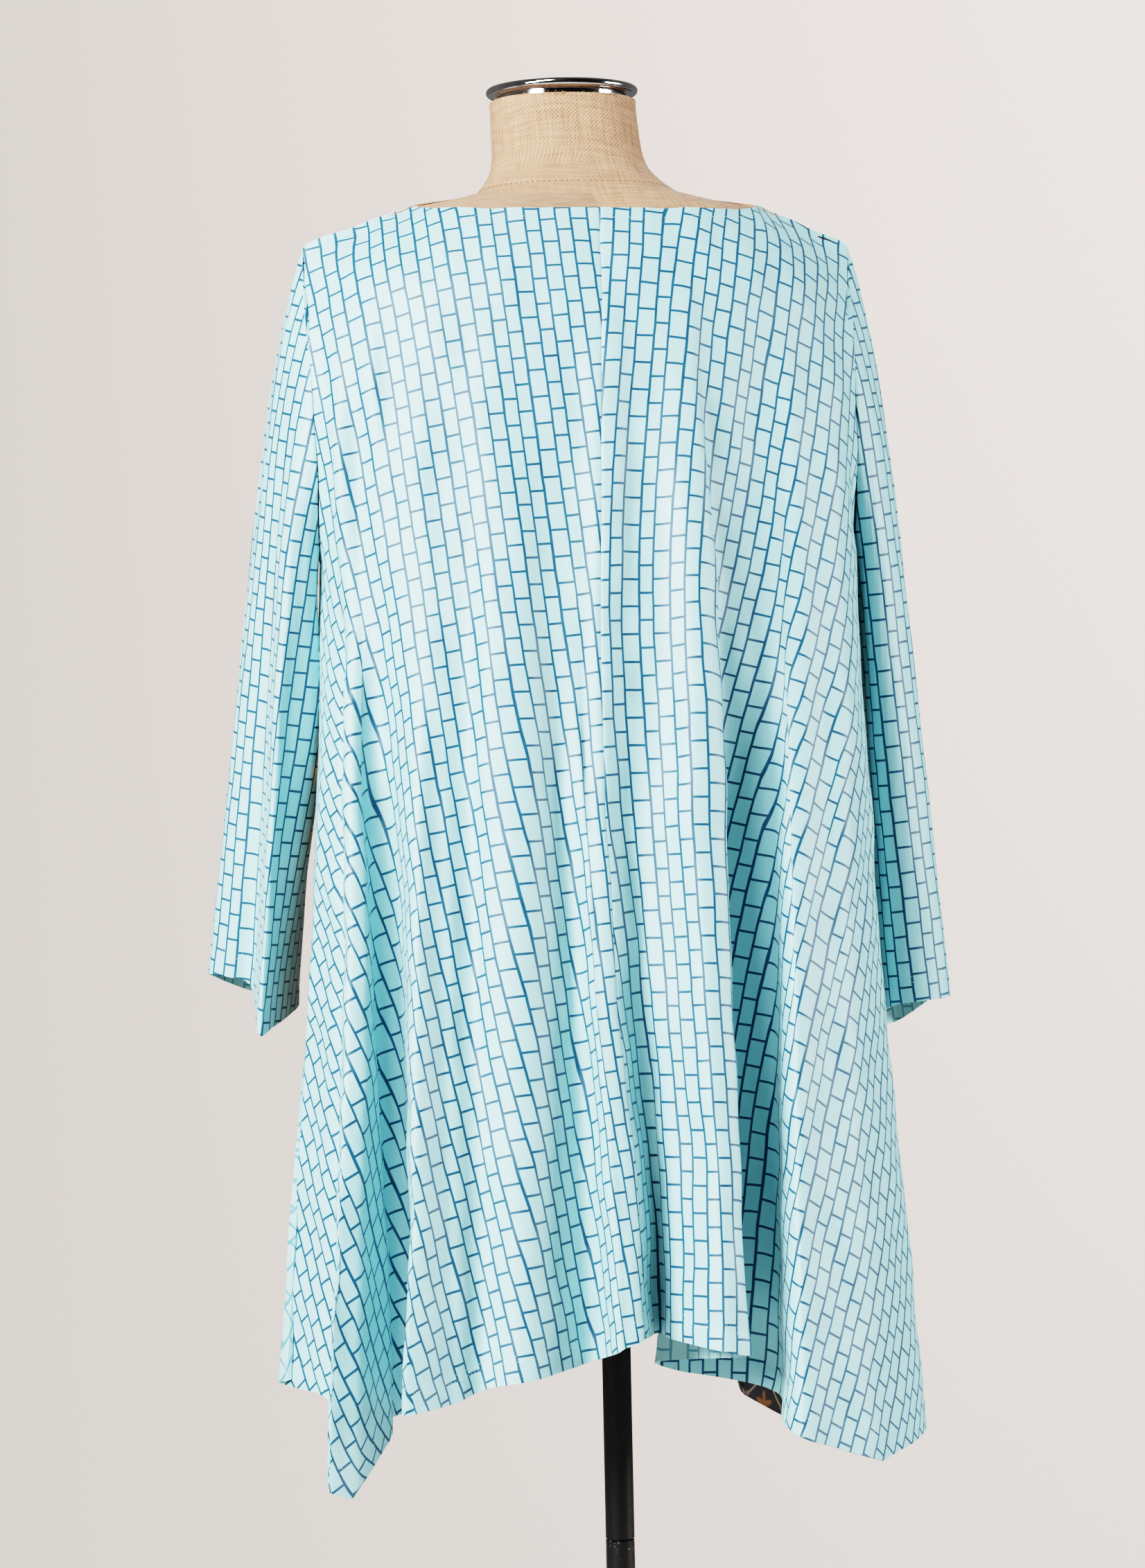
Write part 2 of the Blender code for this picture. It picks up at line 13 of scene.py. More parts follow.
import logging
import math
from collections.abc import Callable
from dataclasses import dataclass
from enum import Enum
from typing import Any, NamedTuple

import bpy
import numpy as np
from mathutils import Matrix, Vector

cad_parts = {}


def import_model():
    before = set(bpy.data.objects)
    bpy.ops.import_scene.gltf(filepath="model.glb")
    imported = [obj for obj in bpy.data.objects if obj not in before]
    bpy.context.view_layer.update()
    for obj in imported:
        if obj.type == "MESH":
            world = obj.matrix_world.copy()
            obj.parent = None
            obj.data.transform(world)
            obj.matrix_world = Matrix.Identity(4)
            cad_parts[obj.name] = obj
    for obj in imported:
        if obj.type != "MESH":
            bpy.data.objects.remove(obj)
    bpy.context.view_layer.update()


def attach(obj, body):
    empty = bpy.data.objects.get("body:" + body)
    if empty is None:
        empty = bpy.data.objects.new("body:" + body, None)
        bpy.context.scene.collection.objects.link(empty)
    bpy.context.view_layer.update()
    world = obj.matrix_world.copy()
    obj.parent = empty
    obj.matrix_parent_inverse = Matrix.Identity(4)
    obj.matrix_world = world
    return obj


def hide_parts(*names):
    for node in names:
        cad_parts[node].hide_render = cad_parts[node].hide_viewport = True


log = logging.getLogger("tunic")

Array = np.ndarray
Tree = bpy.types.NodeTree
Socket = bpy.types.NodeSocket
MM = 0.001
# The x of the form and the tunic, which stand a little to the left of the pole.
FORM_OFFSET_X = -5.5
# The gap left at a seam between two pieces of cloth.
SEAM_GAP = 0.12


class Face(Enum):
    """Which side of the wearer a piece of cloth lies on."""

    BACK = "back"
    FRONT = "front"


class Row(NamedTuple):
    """One plain ring of the cloth, drop millimetres below the neckline.

    gap_back and gap_front part the back and the front at their common seam, for the armhole.
    turn is how far round the panels wrap towards that seam, in degrees.
    """

    name: str
    drop: float
    x_shift: float
    half_width: float
    y_back: float
    y_seam: float
    gap_back: float
    gap_front: float
    y_front: float
    z_back: float
    z_seam: float
    z_front: float
    turn: float


BODY_ROWS = [
    #    name         drop  x  half back seam g.b g.f front z.back z.seam z.front turn
    Row("neckline", 0, 4, 134, -45, 14, 0, 0, 92, 1425, 1435, 1386, 76),
    Row("yoke", 33, 2, 174, -61, 23, 0, 0, 106, 1393, 1420, 1351, 72),
    Row("shoulder", 70, -1, 214, -75, 30, 0, 0, 120, 1353, 1400, 1312, 66),
    Row("armhole_high", 120, -4, 212, -84, 30, 30, 34, 132, 1301, 1338, 1268, 60),
    Row("armhole_mid", 185, -3, 210, -92, 30, 43, 46, 142, 1236, 1256, 1222, 60),
    Row("armhole_low", 240, -1, 208, -98, 30, 28, 30, 148, 1181, 1184, 1176, 70),
    Row("underarm", 275, 0, 208, -102, 30, 0, 0, 150, 1146, 1146, 1146, 88),
    Row("hem", 860, 0, 238, -150, 40, 0, 0, 158, 582, 520, 575, 90),
]
SHOULDER_DROP = 70.0
UNDERARM_DROP = 275.0
HEM_DROP = 860.0
# The drop of the ring on which each fold's top x is measured.
FOLD_TOP_DROP = 120.0
# How gently a fold begins: its pull is (1 + e) * s**2 / (s + e) of the whole.
FOLD_EASE = 0.09
# Below 1, this squares off a ring's quarter-rounds.
RING_POWER = 0.82
EVEN_TURN = math.radians(88)
# How late the cloth rises towards its side seams.
SEAM_RISE_POWER = 2.6
# The turn about z from which the print's grain looks upright.
VIEW_TURN = math.radians(-10)
# Below this share of facing that way, the cloth turns away and its print is carried on round.
ROUND_FACING = 0.5
ROUND_TURN_COLUMNS = 6
# The least facing by which the grain is worked out, and the least weight of cloth facing away.
LEAST_FACING = 0.35
LEAST_FIRM_AWAY = 0.04
# Over what width the grain's lean passes from zone to zone, where and how far the print gives
# there, and how the print is fitted: row step, column step and rounds, from coarse to fine.
GRAIN_BLEND = 5.0
GIVE_WIDTH = 14.0
LEAST_FIRM = 0.1
FIT_STAGES = ((8, 10, 300), (4, 5, 400), (1, 1, 500))


class Fold(NamedTuple):
    """One line down the cloth: where it hangs from, and where it ends at the hem."""

    name: str
    top_x: float
    start_z: float
    hem_x: float
    hem_y: float
    hem_z: float


BACK_FOLDS = [
    #    name               top x   start  hem x  hem y  hem z
    Fold("left_side_seam", -209, 1150, -240, 62, 539),
    Fold("left_strip", -206, 1140, -223, 20, 531),
    Fold("left_hidden_valley", -203, 1180, -201, -24, 517),
    Fold("left_corner_turn", -201, 1240, -232, -110, 493),
    Fold("left_corner_crest", -194, 1240, -217, -147, 475),
    Fold("left_corner_valley", -186, 1130, -178, -74, 523),
    Fold("left_under_valley", -178, 1110, -156, -92, 530),
    Fold("left_panel_edge", -174, 1240, -173, -141, 537),
    Fold("left_panel_crest", -146, 1300, -144, -160, 543),
    Fold("left_small_valley", -115, 1080, -119, -150, 551),
    Fold("left_panel_second", -84, 1240, -88, -168, 558),
    Fold("left_middle_valley", -53, 1340, -40, -138, 566),
    Fold("left_centre_crest", -17, 1250, -22, -182, 580),
    Fold("centre_back", 2, 1280, 0, -175, 586),
    Fold("centre_valley", 14, 1010, 13, -130, 584),
    Fold("right_first_crest", 30, 1160, 31, -158, 581),
    Fold("right_main_crest", 52, 1330, 52, -198, 576),
    Fold("right_crest_edge", 68, 1360, 72, -182, 571),
    Fold("right_under_edge", 86, 1350, 16, -117, 562),
    Fold("right_valley", 118, 1360, 104, -106, 534),
    Fold("right_panel_edge", 137, 1340, 98, -166, 521),
    Fold("right_panel_crest", 154, 1330, 104, -198, 513),
    Fold("right_panel_middle", 171, 1200, 131, -190, 504),
    Fold("right_corner_crest", 186, 1290, 172, -168, 488),
    Fold("right_side_edge", 200, 1180, 228, -82, 500),
    Fold("right_side_valley", 206, 1150, 218, -18, 512),
    Fold("right_side_seam", 209, 1150, 233, 36, 528),
]
FRONT_FOLDS = [
    #    name                top x   start  hem x  hem y  hem z
    BACK_FOLDS[-1],
    Fold("right_front_bulge", 204, 1180, 228, 98, 506),
    Fold("right_front_corner", 190, 1250, 197, 142, 470),
    Fold("right_front_valley", 168, 1240, 164, 108, 482),
    Fold("right_front_crest", 138, 1280, 136, 158, 498),
    Fold("right_front_edge", 114, 1230, 121, 126, 524),
    Fold("right_centre_crest", 80, 1250, 90, 180, 552),
    Fold("centre_right_valley", 42, 1180, 46, 134, 568),
    Fold("centre_crest", 6, 1240, 4, 178, 577),
    Fold("centre_left_valley", -34, 1200, -36, 136, 574),
    Fold("left_centre_crest", -68, 1270, -72, 186, 566),
    Fold("left_front_valley", -100, 1240, -100, 128, 548),
    Fold("left_front_crest", -130, 1260, -130, 170, 520),
    Fold("left_front_corner", -160, 1250, -172, 158, 491),
    Fold("left_front_dip", -180, 1220, -180, 118, 513),
    Fold("left_front_bulge", -202, 1180, -221, 112, 531),
    BACK_FOLDS[0],
]


class Flank(NamedTuple):
    """One sloping side of a fold of the back. Each stop of its path is (x, z, rise).

    Across the line the cloth comes out by rise on the right, or falls back where rise is negative.
    width is half the distance over which most of that happens.
    """

    name: str
    width: float
    path: tuple[tuple[float, float, float], ...]


BACK_FLANKS = [
    Flank("left_strip_swell", 8, ((-203, 1000, 0), (-205, 907, 6), (-208, 757, 9), (-212, 632, 9))),
    Flank("left_strip_drop", 5, (
        (-185, 1000, 0), (-185, 907, -8), (-183, 757, -12), (-180, 632, -11),
    )),
    Flank("left_fold_right_side", 5, (
        (-192, 1366, 0), (-191, 1304, -7.2), (-191, 1214, -17.4), (-193, 1060, -17.2),
        (-190, 908, -1.6), (-191, 757, 2), (-191, 632, 4.3),
    )),
    Flank("left_panel_rise", 5, (
        (-167, 1366, 0), (-168, 1304, -6), (-170, 1214, -5.9), (-174, 1060, 1.9), (-179, 907, 9),
        (-173, 756, 8), (-168, 632, 4.5),
    )),
    Flank("left_panel_fall", 6, (
        (-137, 1366, 0), (-137, 1304, -0.3), (-136, 1213, -5.1), (-133, 1059, -1.2),
        (-141, 907, 1.1), (-141, 787, 0),
    )),
    Flank("middle_fold_left_side", 7, (
        (-102, 1365, 0), (-103, 1304, 2.4), (-101, 1213, 5.2), (-107, 1059, 15.8),
        (-110, 906, 13.4), (-118, 755, 4.1), (-119, 630, 1.7),
    )),
    Flank("middle_fold_right_side", 11, (
        (-76, 1365, 0), (-75, 1303, 0.2), (-65, 1213, -8.2), (-60, 1058, -13), (-66, 905, -3.3),
        (-67, 753, -1.9), (-62, 627, -1.6),
    )),
    Flank("middle_fold_foot", 6, (
        (-44, 1262, 0), (-39, 1135, -0.9), (-37, 1057, -7), (-42, 904, -11.9), (-44, 752, -7.7),
        (-42, 627, -6),
    )),
    Flank("centre_seam_rise", 7, (
        (-18, 1365, 0), (-19, 1303, 4.9), (-19, 1212, 6.4), (-24, 1057, 10.6), (-26, 904, 6.8),
        (-25, 752, -0.8), (-21, 626, -2.7),
    )),
    Flank("centre_seam_fall", 6, (
        (9, 1365, 0), (10, 1303, -5.4), (10, 1212, -7.1), (-2, 1057, 1.1), (-8, 903, 5.1),
        (1, 751, 0.8), (9, 625, 6.7),
    )),
    Flank("centre_hollow_rise", 5, ((8, 1055, 0), (11, 903, -0.8), (16, 750, 9.6), (21, 624, 9.8))),
    Flank("main_fold_left_side", 9, (
        (43, 1365, 0), (43, 1303, 0.9), (43, 1212, 8.6), (45, 1056, 12.6), (35, 902, -0.2),
        (36, 750, -8), (43, 623, -11.1),
    )),
    Flank("main_fold_right_side", 4.5, (
        (69, 1365, 0), (69, 1303, -6), (71, 1211, -13), (73, 1056, -13), (75, 901, -9),
        (73, 748, -3), (73, 622, -0.5),
    )),
    Flank("main_fold_hollow", 12, (
        (107, 1352, 0), (113, 1211, -15), (112, 1055, -16), (111, 900, -8), (102, 747, -7),
        (96, 621, -3),
    )),
    Flank("right_fold_left_side", 7, (
        (141, 1365, 0), (140, 1302, 4.7), (140, 1211, 20.1), (137, 1054, 21.1), (129, 900, 8.2),
        (120, 747, 1.1), (117, 620, -1.7),
    )),
    Flank("right_fold_right_side", 10, (
        (165, 1352, 0), (167, 1210, 12.6), (164, 1054, 12.5), (155, 899, 2.9), (145, 746, -1.2),
        (145, 626, 0),
    )),
]


class Sway(NamedTuple):
    """A sideways bow of the lines near one fold: (z, shift) stops, in millimetres."""

    fold: str
    reach: float
    path: tuple[tuple[float, float], ...]


BACK_SWAYS = [
    Sway("centre_back", 46, (
        (1425, -5), (1394, -6.7), (1302, -7), (1223, -11), (1149, -16), (1077, -18.5), (981, -19),
        (884, -16), (829, -15), (786, -11), (740, -6), (683, -1.5), (586, 0),
    )),
]


class GrainZone(NamedTuple):
    """A width of the back whose grain leans alike.

    Attributes:
        left: the zone's left edge, as (z, x) stops.
        lean: degrees by which the grain's foot goes right, as (z, degrees) stops.
    """

    left: tuple[tuple[float, float], ...]
    lean: tuple[tuple[float, float], ...]


BACK_GRAIN = [
    GrainZone(
        ((1366, -400), (586, -400)),
        ((1330, 13), (1160, 12), (1080, 14), (915, 20), (750, 21), (586, 22)),
    ),
    GrainZone(
        ((1366, -172), (586, -170)),
        ((1330, 9.5), (1160, 9.5), (995, 12), (830, 13), (665, 14), (586, 15.5)),
    ),
    GrainZone(
        ((1366, -104), (586, -108)),
        ((1330, 5), (1160, 4.3), (995, 5.5), (830, 7.3), (665, 9.3), (586, 9.3)),
    ),
    GrainZone(
        ((1366, 5), (586, 5)),
        ((1330, -1), (1160, 0.5), (915, 0), (750, -1), (586, -2)),
    ),
    GrainZone(
        ((1366, 55), (1080, 56), (950, 78), (830, 85), (750, 90), (665, 97), (586, 95)),
        ((1330, -8.5), (1160, -11), (1080, -13), (830, -13), (665, -15), (586, -16)),
    ),
    GrainZone(
        ((1366, 130), (1080, 127), (750, 120), (665, 100), (586, 97)),
        ((1330, -9), (1245, -12), (1160, -14), (1080, -17), (995, -18), (586, -18)),
    ),
]


class SleeveFold(NamedTuple):
    """One line down a sleeve, from the armhole ring to the cuff."""

    name: str
    face: Face
    drop: float
    lead: float
    cuff_x: float
    cuff_y: float
    cuff_z: float
    bow_x: float = 0
    bow_y: float = 0


LEFT_SLEEVE_FOLDS = [
    #          name           face       drop  lead  cuff x  y    z
    SleeveFold("outer", Face.BACK, 70, 13, -289, 118, 848),
    SleeveFold("back_flank", Face.BACK, 96, 18, -276, 96, 846),
    SleeveFold("back_crease", Face.BACK, 132, 17, -259, 90, 838),
    SleeveFold("back_crest", Face.BACK, 176, 16, -259, 44, 804),
    SleeveFold("back_turn", Face.BACK, 212, 10, -246, 62, 808),
    SleeveFold("back_inner", Face.BACK, 248, 6, -231, 90, 815, 14, 0),
    SleeveFold("underarm", Face.BACK, 275, 5, -218, 128, 822, 8, 10),
    SleeveFold("front_inner", Face.FRONT, 240, 8, -226, 162, 826, 20, 26),
    SleeveFold("front_edge", Face.FRONT, 196, 12, -246, 182, 830),
    SleeveFold("front_flank", Face.FRONT, 146, 16, -268, 170, 838),
    SleeveFold("front_outer", Face.FRONT, 100, 19, -283, 146, 845),
]
RIGHT_SLEEVE_FOLDS = [
    SleeveFold("outer", Face.BACK, 70, 15, 288, 60, 824),
    SleeveFold("back_corner", Face.BACK, 98, 19, 280, 26, 818),
    SleeveFold("back_flank", Face.BACK, 136, 16, 258, 13, 816),
    SleeveFold("back_turn", Face.BACK, 178, 11, 236, 18, 813),
    SleeveFold("back_inner", Face.BACK, 216, 6, 229, 42, 806),
    SleeveFold("inner_crest", Face.BACK, 250, 5, 230, 72, 795),
    SleeveFold("underarm", Face.BACK, 275, 4, 234, 102, 794),
    SleeveFold("front_inner", Face.FRONT, 240, 8, 250, 132, 792),
    SleeveFold("front_edge", Face.FRONT, 196, 12, 268, 142, 794),
    SleeveFold("front_flank", Face.FRONT, 146, 16, 281, 120, 806),
    SleeveFold("front_outer", Face.FRONT, 100, 19, 288, 90, 818),
]
# How fast a sleeve's line leads outwards, and how slowly it begins to fall.
SLEEVE_FALL_POWER = 9.0
SLEEVE_FALL_START = 1.35


class FormRow(NamedTuple):
    """One ring of the dress form. z_side lifts or drops the ring's ends from front and back."""

    name: str
    half_width: float
    x_centre: float
    y_back: float
    y_front: float
    z_back: float
    z_side: float
    z_front: float


NECK_ROWS = [
    #       name     half  x    back front z.back z.side z.front
    FormRow("top", 56.0, -6.5, 0, 112, 1519, 1519, 1519),
    FormRow("upper", 56.5, -5.5, -1, 112, 1500, 1500, 1500),
    FormRow("lower", 60.0, -3.5, -6, 108, 1470, 1468, 1460),
    FormRow("base", 76.0, -1, -20, 96, 1449, 1447, 1426),
    FormRow("slope", 90.0, 0, -28, 74, 1438, 1441, 1411),
]
TORSO_ROWS = [
    #       name           half   x  back front z.back z.side z.front
    FormRow("shoulder_end", 191.0, 0, -66, 112, 1318, 1376, 1280),
    FormRow("chest", 178.0, 0, -70, 120, 1262, 1296, 1236),
    FormRow("bust", 160.0, 0, -75, 130, 1182, 1192, 1182),
    FormRow("under_bust", 150.0, 0, -76, 108, 1100, 1100, 1100),
    FormRow("waist", 132.0, 0, -68, 90, 1010, 1010, 1010),
    FormRow("upper_hip", 150.0, 0, -80, 96, 920, 920, 920),
    FormRow("hip", 164.0, 0, -88, 98, 830, 830, 830),
    FormRow("bottom", 158.0, 0, -84, 92, 745, 745, 745),
]


def monotone_curve(at: Array, knots: Any, values: Any) -> Array:
    """Smooth curve through values at knots that never overshoots them.

    Each knot's slope is the mean of the slopes beside it, set to 0 where the values turn and held
    to three times the smaller of the two.

    Args:
        at: where the curve is read.
        knots: the places of the values, rising.
        values: one value, or one row of values, for each knot.

    Returns:
        The values at each place in at.
    """
    knots, values = np.asarray(knots, float), np.asarray(values, float)
    widths = np.diff(knots).reshape(-1, *[1] * (values.ndim - 1))
    slopes = np.diff(values, axis=0) / widths
    tangents = np.concatenate([slopes[:1], (slopes[1:] + slopes[:-1]) / 2, slopes[-1:]])
    tangents[1:-1][slopes[1:] * slopes[:-1] <= 0] = 0
    limit = 3 * np.minimum(np.abs(slopes[1:]), np.abs(slopes[:-1]))
    tangents[1:-1] = np.clip(tangents[1:-1], -limit, limit)
    return hermite(at, knots, values, tangents)


def flowing_curve(at: Array, knots: Any, values: Any) -> Array:
    """Smooth curve through values at knots that rounds over each crest and valley.

    Args:
        at: where the curve is read.
        knots: the places of the values, rising.
        values: one value, or one row of values, for each knot.

    Returns:
        The values at each place in at.
    """
    knots, values = np.asarray(knots, float), np.asarray(values, float)
    widths = np.diff(knots).reshape(-1, *[1] * (values.ndim - 1))
    slopes = np.diff(values, axis=0) / widths
    inner = (slopes[1:] * widths[:-1] + slopes[:-1] * widths[1:]) / (widths[1:] + widths[:-1])
    return hermite(at, knots, values, np.concatenate([slopes[:1], inner, slopes[-1:]]))


def hermite(at: Array, knots: Array, values: Array, tangents: Array) -> Array:
    """Cubic pieces between knots with the given values and slopes."""
    at = np.asarray(at, float)
    piece = np.clip(np.searchsorted(knots, at, side="right") - 1, 0, len(knots) - 2)
    extra = [1] * (values.ndim - 1)
    width = (knots[piece + 1] - knots[piece]).reshape(*at.shape, *extra)
    s = ((at - knots[piece]).reshape(*at.shape, *extra)) / width
    low, high = values[piece], values[piece + 1]
    start = low * (2 * s**3 - 3 * s**2 + 1) + tangents[piece] * width * (s**3 - 2 * s**2 + s)
    end = high * (3 * s**2 - 2 * s**3) + tangents[piece + 1] * width * (s**3 - s**2)
    return start + end


def read_between(curve: Callable[..., Array], grid: Array, down: Array, over: Array) -> Array:
    """A grid's values at places between its rows and columns, along smooth curves."""
    rows = np.moveaxis(curve(down, np.arange(grid.shape[0]), grid), 1, 0)
    return np.moveaxis(curve(over, np.arange(grid.shape[1]), rows), 0, 1)


def row_values(drops: Array) -> dict[str, Array]:
    """The plain ring's sizes at each drop below the neckline."""
    table = monotone_curve(drops, [row.drop for row in BODY_ROWS], [row[1:] for row in BODY_ROWS])
    return {name: table[:, i] for i, name in enumerate(Row._fields[1:])}


def plain_ring(row: dict[str, Array], across: Array, face: Face) -> tuple[Array, Array]:
    """x and y of the plain cloth: a quarter-round swept towards each seam, squared off a little.

    Each ring stops short of the quarter at its own turn. The places are spread over every ring as
    over one of EVEN_TURN, so that a line down the cloth keeps its share of the half width.

    Args:
        row: the ring's sizes, from row_values.
        across: -1 at the left seam, 0 at the centre and 1 at the right seam.
        face: the back or the front.

    Returns:
        x and y, each as (drops, across).
    """
    turn = np.radians(row["turn"])[:, None]
    even = np.sin(np.abs(across)[None, :] * EVEN_TURN) / math.sin(EVEN_TURN)
    angle = np.arcsin(np.clip(even * np.sin(turn), 0, 1))
    front = face is Face.FRONT
    gap = row["gap_front"] if front else -row["gap_back"]
    seam = (row["y_seam"] + gap)[:, None]
    centre = row["y_front" if front else "y_back"][:, None]
    wide = (np.sin(angle) / np.sin(turn)) ** RING_POWER
    ends = np.cos(turn) ** RING_POWER
    deep = (np.cos(angle) ** RING_POWER - ends) / (1 - ends)
    x = row["x_shift"][:, None] + np.sign(across) * row["half_width"][:, None] * wide
    return x, seam + (centre - seam) * deep


def folds_of(face: Face) -> list[Fold]:
    """The fold lines of one face, from its left seam to its right."""
    return FRONT_FOLDS[::-1] if face is Face.FRONT else BACK_FOLDS


def fold_places(face: Face) -> Array:
    """Where each fold stands across the cloth, from its x at the height it hangs from."""
    across = np.linspace(-1, 1, 801)
    x = plain_ring(row_values(np.array([FOLD_TOP_DROP])), across, face)[0][0]
    places = np.interp([fold.top_x for fold in folds_of(face)], x, across)
    places[0], places[-1] = -1, 1
    return places


def cloth_points(across: Array, drops: Array, face: Face) -> Array:
    """Outer points of the back or the front, as (drops, across, 3), in millimetres.

    A plain ring is moved by a smooth curve through its fold lines' pulls. Each pull grows from
    nothing at the fold's start, slowly at first, to its whole at the hem.
    """
    folds = folds_of(face)
    row = row_values(drops)
    x, y = plain_ring(row, across, face)
    places = fold_places(face)
    rise = np.abs(across) ** SEAM_RISE_POWER
    centre = row["z_front" if face is Face.FRONT else "z_back"][:, None]
    z = centre + (row["z_seam"][:, None] - centre) * rise
    hem_z = np.interp(across, places, [fold.hem_z for fold in folds])
    underarm = row_values(np.array([UNDERARM_DROP]))["z_seam"][0]
    fall = np.clip((drops - UNDERARM_DROP) / (HEM_DROP - UNDERARM_DROP), 0, 1)[:, None]
    z = np.where(fall > 0, underarm + (hem_z - underarm) * fall, z)

    hem_x, hem_y = plain_ring(row_values(np.array([HEM_DROP])), places, face)
    pull = np.stack([[f.hem_x for f in folds] - hem_x[0], [f.hem_y for f in folds] - hem_y[0]], -1)
    start = np.array([fold.start_z for fold in folds])
    end = np.array([fold.hem_z for fold in folds])
    line_z = np.stack([np.interp(places, across, level) for level in z])
    fallen = np.clip((start - line_z) / (start - end), 0, 1)
    share = (1 + FOLD_EASE) * fallen**2 / (fallen + FOLD_EASE)
    moved = flowing_curve(across, places, np.moveaxis(share[:, :, None] * pull, 0, 1))
    moved = np.moveaxis(moved, 0, 1)
    return np.stack([x + moved[..., 0], y + moved[..., 1], z], -1)


def stops_at(z: Array, path: tuple[tuple[float, ...], ...]) -> list[Array]:
    """The values of a path's stops at each z, held at their ends."""
    stops = np.array(path[::-1], float)
    at = np.clip(z, stops[0, 0], stops[-1, 0])
    return [monotone_curve(at, stops[:, 0], stops[:, i]) for i in range(1, stops.shape[1])]


def blurred(values: Array, sigma: float, axis: int) -> Array:
    """Gaussian mean along an axis. Past an end, the values go on as their half-turn about it."""
    reach = int(3 * sigma)
    weights = np.exp(-0.5 * (np.arange(-reach, reach + 1) / sigma) ** 2)
    moved = np.moveaxis(values, axis, 0)
    before = 2 * moved[:1] - moved[reach:0:-1]
    after = 2 * moved[-1:] - moved[-2 : -reach - 2 : -1]
    padded = np.concatenate([before, moved, after])
    mean = sum(w * padded[i : i + len(moved)] for i, w in enumerate(weights / weights.sum()))
    return np.moveaxis(mean, 0, axis)


def columns_between(places: Array, steps: int) -> Array:
    """The fold places with evenly spaced columns added between each pair."""
    spread = [np.linspace(a, b, steps, endpoint=False) for a, b in zip(places, places[1:])]
    return np.append(np.concatenate(spread), places[-1])


def grid_normals(points: Array, closed: bool) -> Array:
    """Unit normals of a grid of points; a closed grid joins its last column to its first."""
    if closed:
        across = np.roll(points, -1, 1) - np.roll(points, 1, 1)
    else:
        across = np.gradient(points, axis=1)
    return unit(np.cross(across, np.gradient(points, axis=0)))


def unit(vectors: Array) -> Array:
    """The vectors along the last axis, brought to a length of 1."""
    return vectors / np.linalg.norm(vectors, axis=-1, keepdims=True)


def wrapped(grid: Array) -> Array:
    """A closed grid with its first column repeated after its last."""
    return np.concatenate([grid, grid[:, :1]], 1)


def numbered(rows: int, columns: int) -> Array:
    """A grid's point numbers, row by row."""
    return np.arange(rows * columns).reshape(rows, columns)


def quads(index: Array) -> Array:
    """The faces between a grid's points, each from its upper left corner down and round."""
    corners = [index[:-1, :-1], index[1:, :-1], index[1:, 1:], index[:-1, 1:]]
    return np.stack(corners, -1).reshape(-1, 4)


def halved(faces: Array) -> Array:
    """Two triangles, or their corners' values, for each four-cornered face."""
    return np.concatenate([faces[:, [0, 1, 2]], faces[:, [0, 2, 3]]])


def fan(ring: Array, pole: int, top: bool) -> Array:
    """Triangles from a closed ring of point numbers to one pole above or below it."""
    faces = np.stack([np.full(len(ring) - 1, pole), ring[:-1], ring[1:]], -1)
    return faces if top else faces[:, ::-1]


def end_fans(index: Array) -> Array:
    """The two flat ends of a closed grid, whose poles are numbered after its own points."""
    pole = int(index.max()) + 1
    return np.concatenate([fan(index[0], pole, True), fan(index[-1], pole + 1, False)])


def running_length(points: Array, axis: int) -> Array:
    """Length along the grid's lines from their first point, as an array of the grid's shape."""
    steps = np.linalg.norm(np.diff(points, axis=axis), axis=-1)
    first = np.zeros_like(np.take(steps, [0], axis=axis))
    return np.concatenate([first, np.cumsum(steps, axis=axis)], axis=axis)


def from_edges(over: Array) -> Array:
    """The length across from each point to the nearer long edge."""
    return np.minimum(over, over[:, -1:] - over)


def trough(distance: Array, width: float) -> Array:
    """A soft bell from 1 at distance 0 to about 0 at twice the width."""
    return np.exp(-((distance / width) ** 2))


def pressed(distance: Array, shape: tuple[float, float]) -> Array:
    """How deep a groove of the given depth and width is at a distance from its middle."""
    return shape[0] * trough(distance, shape[1])


def ramp(value: Array, start: float, end: float) -> Array:
    """0 before start and 1 past end, evenly between them. start may lie above end."""
    return np.clip((value - start) / (end - start), 0, 1)


def eased(share: Array) -> Array:
    """A share of 0 to 1 with a level start and end: 3 s**2 - 2 s**3."""
    return share * share * (3 - 2 * share)


def index_of(table: list[Any], name: str) -> int:
    """The place of a named line in a table."""
    return [line.name for line in table].index(name)


def declare(
    piece: bpy.types.Object, looks: list[bpy.types.Material], node: str | None = None
) -> None:
    """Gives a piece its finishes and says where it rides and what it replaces."""
    for look in looks:
        piece.data.materials.append(look)
    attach(piece, "root")
    if node:
        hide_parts(node)
    log.info("%s: %d faces", piece.name, len(piece.data.polygons))


def to_object(name: str, mesh: bpy.types.Mesh) -> bpy.types.Object:
    """Puts a mesh in the scene as a piece that stands at the origin."""
    piece = bpy.data.objects.new(name, mesh)
    bpy.context.scene.collection.objects.link(piece)
    return piece


def new_mesh(name: str, points: Array, faces: Array, sharp: float = 60) -> bpy.types.Mesh:
    """A smooth-shaded mesh from points in millimetres of the worn frame.

    Args:
        name: the mesh's name.
        points: (count, 3), in millimetres.
        faces: (count, 3 or 4) rows of point numbers.
        sharp: edges that turn by more degrees than this stay sharp.
    """
    mesh = bpy.data.meshes.new(name)
    corners = faces.shape[1]
    mesh.vertices.add(len(points))
    mesh.vertices.foreach_set("co", (points * MM).astype(np.float32).ravel())
    mesh.loops.add(faces.size)
    mesh.loops.foreach_set("vertex_index", faces.astype(np.int32).ravel())
    mesh.polygons.add(len(faces))
    mesh.polygons.foreach_set("loop_start", np.arange(len(faces), dtype=np.int32) * corners)
    mesh.update(calc_edges=True)
    mesh.validate()
    mesh.shade_smooth()
    mesh.set_sharp_from_angle(angle=math.radians(sharp))
    return mesh


